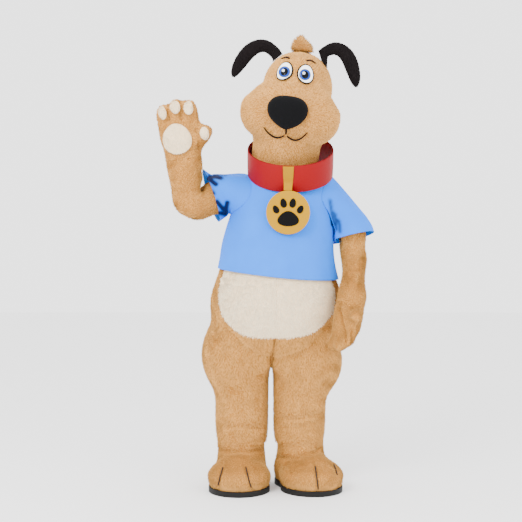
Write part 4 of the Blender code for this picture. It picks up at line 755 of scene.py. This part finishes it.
# Shirt
# Sky-blue polyester jersey, cut loose: front, back and two set-in sleeves, sewn together. The
# thin knit creases at the raised cuff and in the other armpit, and dark navy shade is painted into
# the creases.
KNIT = 0.0016           # thickness of the jersey
SHADE_FULL_AT = 0.0042       # a crease this deep has its full painted shade
# Smooth and even; its rows are 2 mm apart, coarser than the real 0.7 mm so that they show.
jersey, tree, shader = new_material("sky blue polyester jersey", Roughness=0.7,
                                    Specular_IOR_Level=0.12, Sheen_Weight=0.01)
place = add_node(tree, "ShaderNodeTexCoord")
rows = add_node(tree, "ShaderNodeTexWave", {"Scale": 160.0, "Distortion": 2.0, "Detail": 1.0,
                                            "Detail Scale": 3.0, "bands_direction": "Z"},
                {"Vector": place.outputs["Object"]})
cloud = add_node(tree, "ShaderNodeTexNoise", {"Scale": 9.0, "Detail": 2.0},
                 {"Vector": place.outputs["Object"]})
deep = add_node(tree, "ShaderNodeAttribute", {"attribute_name": "fold"})
tint = add_node(tree, "ShaderNodeMix",
                {"data_type": "RGBA", 6: linear("#0068D8"), 7: linear("#0078EE")},
                {0: cloud.outputs["Fac"]})
# painted shade: the colour turns dark navy as the crease deepens
crease_shaded = add_node(tree, "ShaderNodeMix", {"data_type": "RGBA", 7: linear("#04123A")},
                 {0: deep.outputs["Fac"], 6: tint.outputs[2]})
bump = add_node(tree, "ShaderNodeBump", {"Strength": 0.12, "Distance": 0.0004},
                {"Height": rows.outputs["Fac"]})
tree.links.new(crease_shaded.outputs[2], shader.inputs["Base Color"])
tree.links.new(bump.outputs[0], shader.inputs["Normal"])

RAISED_CREASES = [
    [(-0.205, 1.362), (-0.232, 1.346), (-0.246, 1.334)],
    [(-0.214, 1.330), (-0.238, 1.336), (-0.262, 1.332)],
    [(-0.232, 1.312), (-0.256, 1.318), (-0.276, 1.318)],
    [(-0.252, 1.285), (-0.270, 1.300), (-0.286, 1.306)],
    [(-0.262, 1.245), (-0.276, 1.262), (-0.290, 1.272)],
    [(-0.262, 1.205), (-0.276, 1.222), (-0.290, 1.232)],
    [(-0.222, 1.180), (-0.236, 1.198), (-0.246, 1.210)],
    [(-0.215, 1.158), (-0.240, 1.162), (-0.262, 1.172)],
    [(-0.204, 1.205), (-0.208, 1.176), (-0.206, 1.150)],
]
HANGING_CREASES = [
    [(0.226, 1.215), (0.232, 1.165), (0.238, 1.115)],
    [(0.246, 1.160), (0.250, 1.130), (0.250, 1.095)],
    [(0.262, 1.130), (0.266, 1.110), (0.266, 1.085)],
]
SHIRT_FOLDS = ([Fold(line, 0.0090, 0.0060) for line in RAISED_CREASES]
               + [Fold(line, 0.0080, 0.0032) for line in HANGING_CREASES])
SHIRT_CORES = {"shirt_front": torso_core, "shirt_back": torso_core,
               "shirt_sleeve_left": arm_cores["left"][:4],
               "shirt_sleeve_right": arm_cores["right"][:2]}


def marked(made, word, values):
    """A value at each point of a piece, for its material to read."""
    made.data.attributes.new(word, "FLOAT", "POINT")
    made.data.attributes[word].data.foreach_set("value", values.astype(np.float32))


for node, core in SHIRT_CORES.items():
    plain = subdivided(*outer_cage(node, core), 3)
    surface = pressed(plain, SHIRT_FOLDS)
    depth = ((plain.points - surface.points) * plain.normals).sum(axis=1)
    made = cloth(f"{node}_jersey", surface, KNIT, jersey, node)
    # the crease depth that sets the painted shade in the jersey's colour
    marked(made, "fold", np.clip(depth / SHADE_FULL_AT, 0, 1))


# Head
# Carved upholstery foam covered with short tan plush, in five sewn panels: forehead, two backs,
# and two cheeks that meet in the middle. The pile is combed away from the nose.
HEAD_PILE, FOAM = 0.0055, 0.007
PANEL_EDGE = 0.0145     # the foam's cut edge, between the cheeks' plush and the other panels'
head_core = [room(0.068, -0.015, 1.36), room(0.070, -0.030, 1.55), room(0.082, -0.020, 1.72)]
nose_place = room(0.060, -0.33, 1.575)


def from_nose(points):
    """The nap of the head."""
    way = points - nose_place
    way /= np.linalg.norm(way, axis=1, keepdims=True)
    return way + np.array((0.0, 0.0, -0.25))


def eased(surfaces, first, other, reach, rounds):
    """Padded panels run on smoothly across the seams between two groups of them."""
    starts = np.cumsum([0] + [len(surface.points) for surface in surfaces])
    points = np.concatenate([surface.points for surface in surfaces])
    rims = [(n, start + i) for n, (start, surface) in enumerate(zip(starts, surfaces))
            for i in edge_points(surface)]
    tree = KDTree(len(rims))
    for k, (n, i) in enumerate(rims):
        tree.insert(points[i], k)
    tree.balance()
    twin, seam, open_rim = np.arange(len(points)), [], []
    for n, i in rims:
        near = [(rims[k], gap) for _, k, gap in tree.find_range(points[i], PANEL_EDGE)]
        found = [(m, j) for (m, j), gap in near
                 if gap < SEAM or (n in first and m in other) or (n in other and m in first)]
        twin[i] = min(j for _, j in found)
        if n in first and any(m in other for m, _ in found):
            seam.append(i)
        if len(found) == 1:
            open_rim.append(i)
    tree = KDTree(len(seam))
    for i in seam:
        tree.insert(points[i], i)
    tree.balance()
    pull = np.array([math.exp(-(tree.find(p)[2] / reach) ** 2) for p in points])
    pull[open_rim] = 0
    faces = [[int(twin[start + i]) for i in face]
             for start, surface in zip(starts, surfaces) for face in surface.faces]
    edges, degree = neighbours(faces, len(points))
    for _ in range(rounds):
        way = np.where(degree > 2, slack(points, edges, degree), 0)
        points = points + 0.7 * pull[:, None] * way
    points = points[twin]
    normals = at_points(mesh_of("eased", points, faces), "normal")[twin]
    return [surface._replace(points=points[a:b], normals=normals[a:b])
            for surface, a, b in zip(surfaces, starts, starts[1:])]


short_pile = plush_pile("tan short head plush", TAN_ROOT, "#EDB265")
HEAD_PANELS = ["muzzle_right", "muzzle_left", "forehead", "head_back_left", "head_back_right"]
head_surfaces = [subdivided(*outer_cage(node, head_core, least=0.08), 2) for node in HEAD_PANELS]
head_surfaces = eased(head_surfaces, (0, 1), (2, 3, 4), reach=0.028, rounds=30)
head_surfaces = [sunk(surface, HEAD_PILE) for surface in head_surfaces]
locks = pile("pile_head", head_surfaces, from_nose, 0.0075, short_pile, 71,
             spacing=FINE_SPACING)
for node, surface in zip(HEAD_PANELS, head_surfaces):
    made = cloth(f"{node}_foam", surface, FOAM, tan_backing, node)
locks.parent = made


# Crown tuft and ears
# The tuft is a small stuffed pom of the same plush with longer, upright pile, sewn on the crown.
# The ears are sewn from short black plush and stuffed firmly, so that they stand and bend over.
def under_pile(surface):
    """A stuffed piece made a little slimmer, to leave room for its pile."""
    return surface.points - surface.normals * 0.002


def wide_at_foot(surface):
    """The tuft spreads where it is sewn to the crown."""
    low, high = (np.array(v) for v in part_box("crown_tuft"))
    share = np.clip((0.5 * (low + high) - surface.points)[:, 2:] / (0.5 * (high - low)[2]), 0, 1)
    across = (surface.points - (low + high) / 2) * (1, 1, 0)
    return under_pile(surface) + across * 0.7 * share


made, surface = softened("crown_tuft", 2, tan_backing, shape=wide_at_foot)


def upwards(points):
    """The nap of the tuft."""
    return np.tile((0.0, -0.1, 1.0), (len(points), 1))


locks = pile("pile_tuft", [surface], upwards, 0.015, short_pile, 72,
             spacing=FINEST_SPACING, lift=1.5, loose=0.9)
locks.parent = made
ear_pile = plush_pile("black short ear plush", "#040102", "#120709", 0.3)
ear_backing = knit_backing("black knitted ear backing", "#080304")
ears_meet = room(0.085, 0.0, 1.78)


def to_tip(points):
    """The nap of the ears, away from the crown."""
    way = points - ears_meet
    return way / np.linalg.norm(way, axis=1, keepdims=True)


for side in ("left", "right"):
    made, surface = softened(f"ear_{side}", 2, ear_backing, shape=under_pile)
    locks = pile(f"pile_ear_{side}", [surface], to_tip, 0.0045, ear_pile, 73,
                 spacing=0.0030)
    locks.parent = made


# Eyes, brows, mouth and nose
# Each eye is a dome of white vinyl with a printed blue iris and a black pupil, on a rim of black
# felt; the pupil carries a printed white spot that is a painted highlight of the key light. The
# brows and the mouth are cut from felt and glued on; the nose is stuffed black fleece.
IRIS_SPAN, GLINT_SPAN = 0.040, 0.020   # over these the iris print and the painted highlight run from their middle to 1
# Pressed felt has no gloss at all; its fibres lie about 1.4 mm apart as drawn.
FELT = dict(texture="ShaderNodeTexNoise", pattern={"Scale": 700.0, "Detail": 4.0}, strength=0.6,
            relief=0.0006, Roughness=0.95, Specular_IOR_Level=0.1)
felt = two_tone("pressed black felt", "#040404", "#100E0F", **FELT)
brown_felt = two_tone("pressed brown felt", "#1E0C06", "#321A10", **FELT)
# Smooth vinyl is the one glossy thing on the face; its print runs from pupil to white.
vinyl, tree, shader = new_material("glossy white vinyl", Roughness=0.25,
                                   Specular_IOR_Level=0.25)
ring = add_node(tree, "ShaderNodeAttribute", {"attribute_name": "iris"})
iris = add_node(tree, "ShaderNodeValToRGB", {}, {0: ring.outputs["Fac"]})
ramp = iris.color_ramp
STOPS = [(0.0, "#010824"), (0.50, "#083A9C"), (0.56, "#020A20"), (0.585, "#020A20"),
         (0.61, "#FFFFFF")]
while len(ramp.elements) < len(STOPS):
    ramp.elements.new(0.5)
for element, (at, code) in zip(ramp.elements, STOPS):
    element.position, element.color = at, linear(code)
tree.links.new(iris.outputs[0], shader.inputs["Base Color"])
pupil_vinyl, tree, shader = new_material("glossy black vinyl with a painted highlight", Roughness=0.2,
                                         Specular_IOR_Level=0.1)
ring = add_node(tree, "ShaderNodeAttribute", {"attribute_name": "glint"})
printed = add_node(tree, "ShaderNodeMapRange", {1: 0.27, 2: 0.33}, {0: ring.outputs["Fac"]})
tone = add_node(tree, "ShaderNodeMix",
                {"data_type": "RGBA", 6: linear("#D8DADF"), 7: linear("#030305")},
                {0: printed.outputs[0]})
tree.links.new(tone.outputs[2], shader.inputs["Base Color"])
for side in ("left", "right"):
    softened(f"eye_rim_{side}", 1, felt)
    made, surface = softened(f"eye_{side}", 2, vinyl)
    low, high = (np.array(v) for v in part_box(f"pupil_{side}"))
    far = np.linalg.norm((surface.points - (low + high) / 2)[:, [0, 2]], axis=1)
    marked(made, "iris", far / IRIS_SPAN)
    made, surface = softened(f"pupil_{side}", 2, pupil_vinyl)
    # painted highlight: a white spot up and to the left of the pupil's middle, toward the key
    # light, where its reflection would fall
    spot = (low + high) / 2 + (high - low) * (-0.16, 0, 0.18)
    far = np.linalg.norm((surface.points - spot)[:, [0, 2]], axis=1)
    marked(made, "glint", far / GLINT_SPAN)
    softened(f"brow_{side}", 2, brown_felt)
    softened(f"mouth_{side}", 2, felt)
softened("mouth_middle", 2, felt)
# Brushed fleece is dull and very slightly lit at the rim; its nap is about 2.6 mm across.
fleece = two_tone("black brushed fleece", "#030304", "#09090B", "ShaderNodeTexNoise",
                  {"Scale": 380.0, "Detail": 4.0}, 0.5, 0.001,
                  Roughness=0.9, Specular_IOR_Level=0.1, Sheen_Weight=0.01, Sheen_Roughness=0.5)


def stuffed(name, material):
    """A piece with foam all through it."""
    made, _ = softened(name, 2, material)


stuffed("nose", fleece)


# Collar, strap and tag
# A band of foam covered with stretched red spandex. A strap of yellow webbing is sewn over its
# front and carries a round tag of yellow felt on foam, with a plain paw of black felt glued on.
RED_DARK, RED_PALE = "#760004", "#8A0008"
# Stretched spandex is smooth, with a soft broad gleam and a knit of about 2 mm as drawn.
spandex = two_tone("red spandex over foam", RED_DARK, RED_PALE, "ShaderNodeTexNoise",
                   {"Scale": 500.0, "Detail": 3.0}, 0.25, 0.0005,
                   Roughness=0.55, Specular_IOR_Level=0.12)
stuffed("collar", spandex)
# Webbing shows its cross ribs, 1 mm apart.
webbing = two_tone("yellow woven webbing", "#906600", "#A67800", "ShaderNodeTexWave",
                   {"Scale": 320.0, "Distortion": 0.6, "bands_direction": "Z"}, 0.4, 0.0005,
                   Roughness=0.7, Specular_IOR_Level=0.12)
stuffed("strap", webbing)
# The tag's felt is matt and even; its fibres lie about 2 mm apart as drawn.
tag_felt = two_tone("yellow felt on foam", "#966C00", "#AC7E00", "ShaderNodeTexNoise",
                    {"Scale": 520.0, "Detail": 4.0}, 0.3, 0.0006,
                    Roughness=0.85, Specular_IOR_Level=0.12)
stuffed("tag", tag_felt)
for name in ("tag_pad", "tag_toe_1", "tag_toe_2", "tag_toe_3", "tag_toe_4"):
    softened(name, 2, felt)


# Studio
# A seamless matt floor that runs out to the pale backdrop. Two large soft lights stand in front,
# the stronger one on the raised hand's side, and the lens is long, as in the photograph.
FLOOR_REACH = 9
floor_paint, _, _ = new_material("matt white studio floor", Roughness=0.8,
                                 Base_Color=linear("#F4F4F4"))
corners = [(FLOOR_REACH * x, FLOOR_REACH * y, cad_box[0][2])
           for x, y in ((-1, -1), (1, -1), (1, 1), (-1, 1))]
mesh = mesh_of("floor", corners, [(0, 1, 2, 3)])
mesh.materials.append(floor_paint)
floor = bpy.data.objects.new("floor", mesh)
bpy.context.scene.collection.objects.link(floor)
world = bpy.data.worlds.new("studio")
bpy.context.scene.world = world
world.use_nodes = True
backdrop = world.node_tree.nodes["Background"]
backdrop.inputs["Color"].default_value = linear("#FFFFFF")
backdrop.inputs["Strength"].default_value = 2.8


def turned_to(place, aim):
    """The turn of a light or a camera at a place that looks at its aim."""
    return (Vector(aim) - Vector(place)).to_track_quat("-Z", "Y").to_euler()


LIGHTS = [("key", (-1.8, -3.2, 1.9), 1.6, 190.0), ("fill", (2.6, -3.0, 0.9), 2.0, 60.0)]
for name, place, size, power in LIGHTS:
    lamp = bpy.data.lights.new(name, "AREA")
    lamp.size, lamp.energy = size, power
    holder = bpy.data.objects.new(name, lamp)
    bpy.context.scene.collection.objects.link(holder)
    holder.location = place
    holder.rotation_euler = turned_to(place, (0.0, 0.0, -0.3))
lens = bpy.data.cameras.new("camera")
lens.sensor_width, lens.lens = 36.0, 81.0
camera = bpy.data.objects.new("camera", lens)
bpy.context.scene.collection.objects.link(camera)
camera.location = room(-0.064, -5.0, 1.150)
camera.rotation_euler = turned_to(camera.location, room(-0.064, 0.0, 0.959))
bpy.context.scene.camera = camera
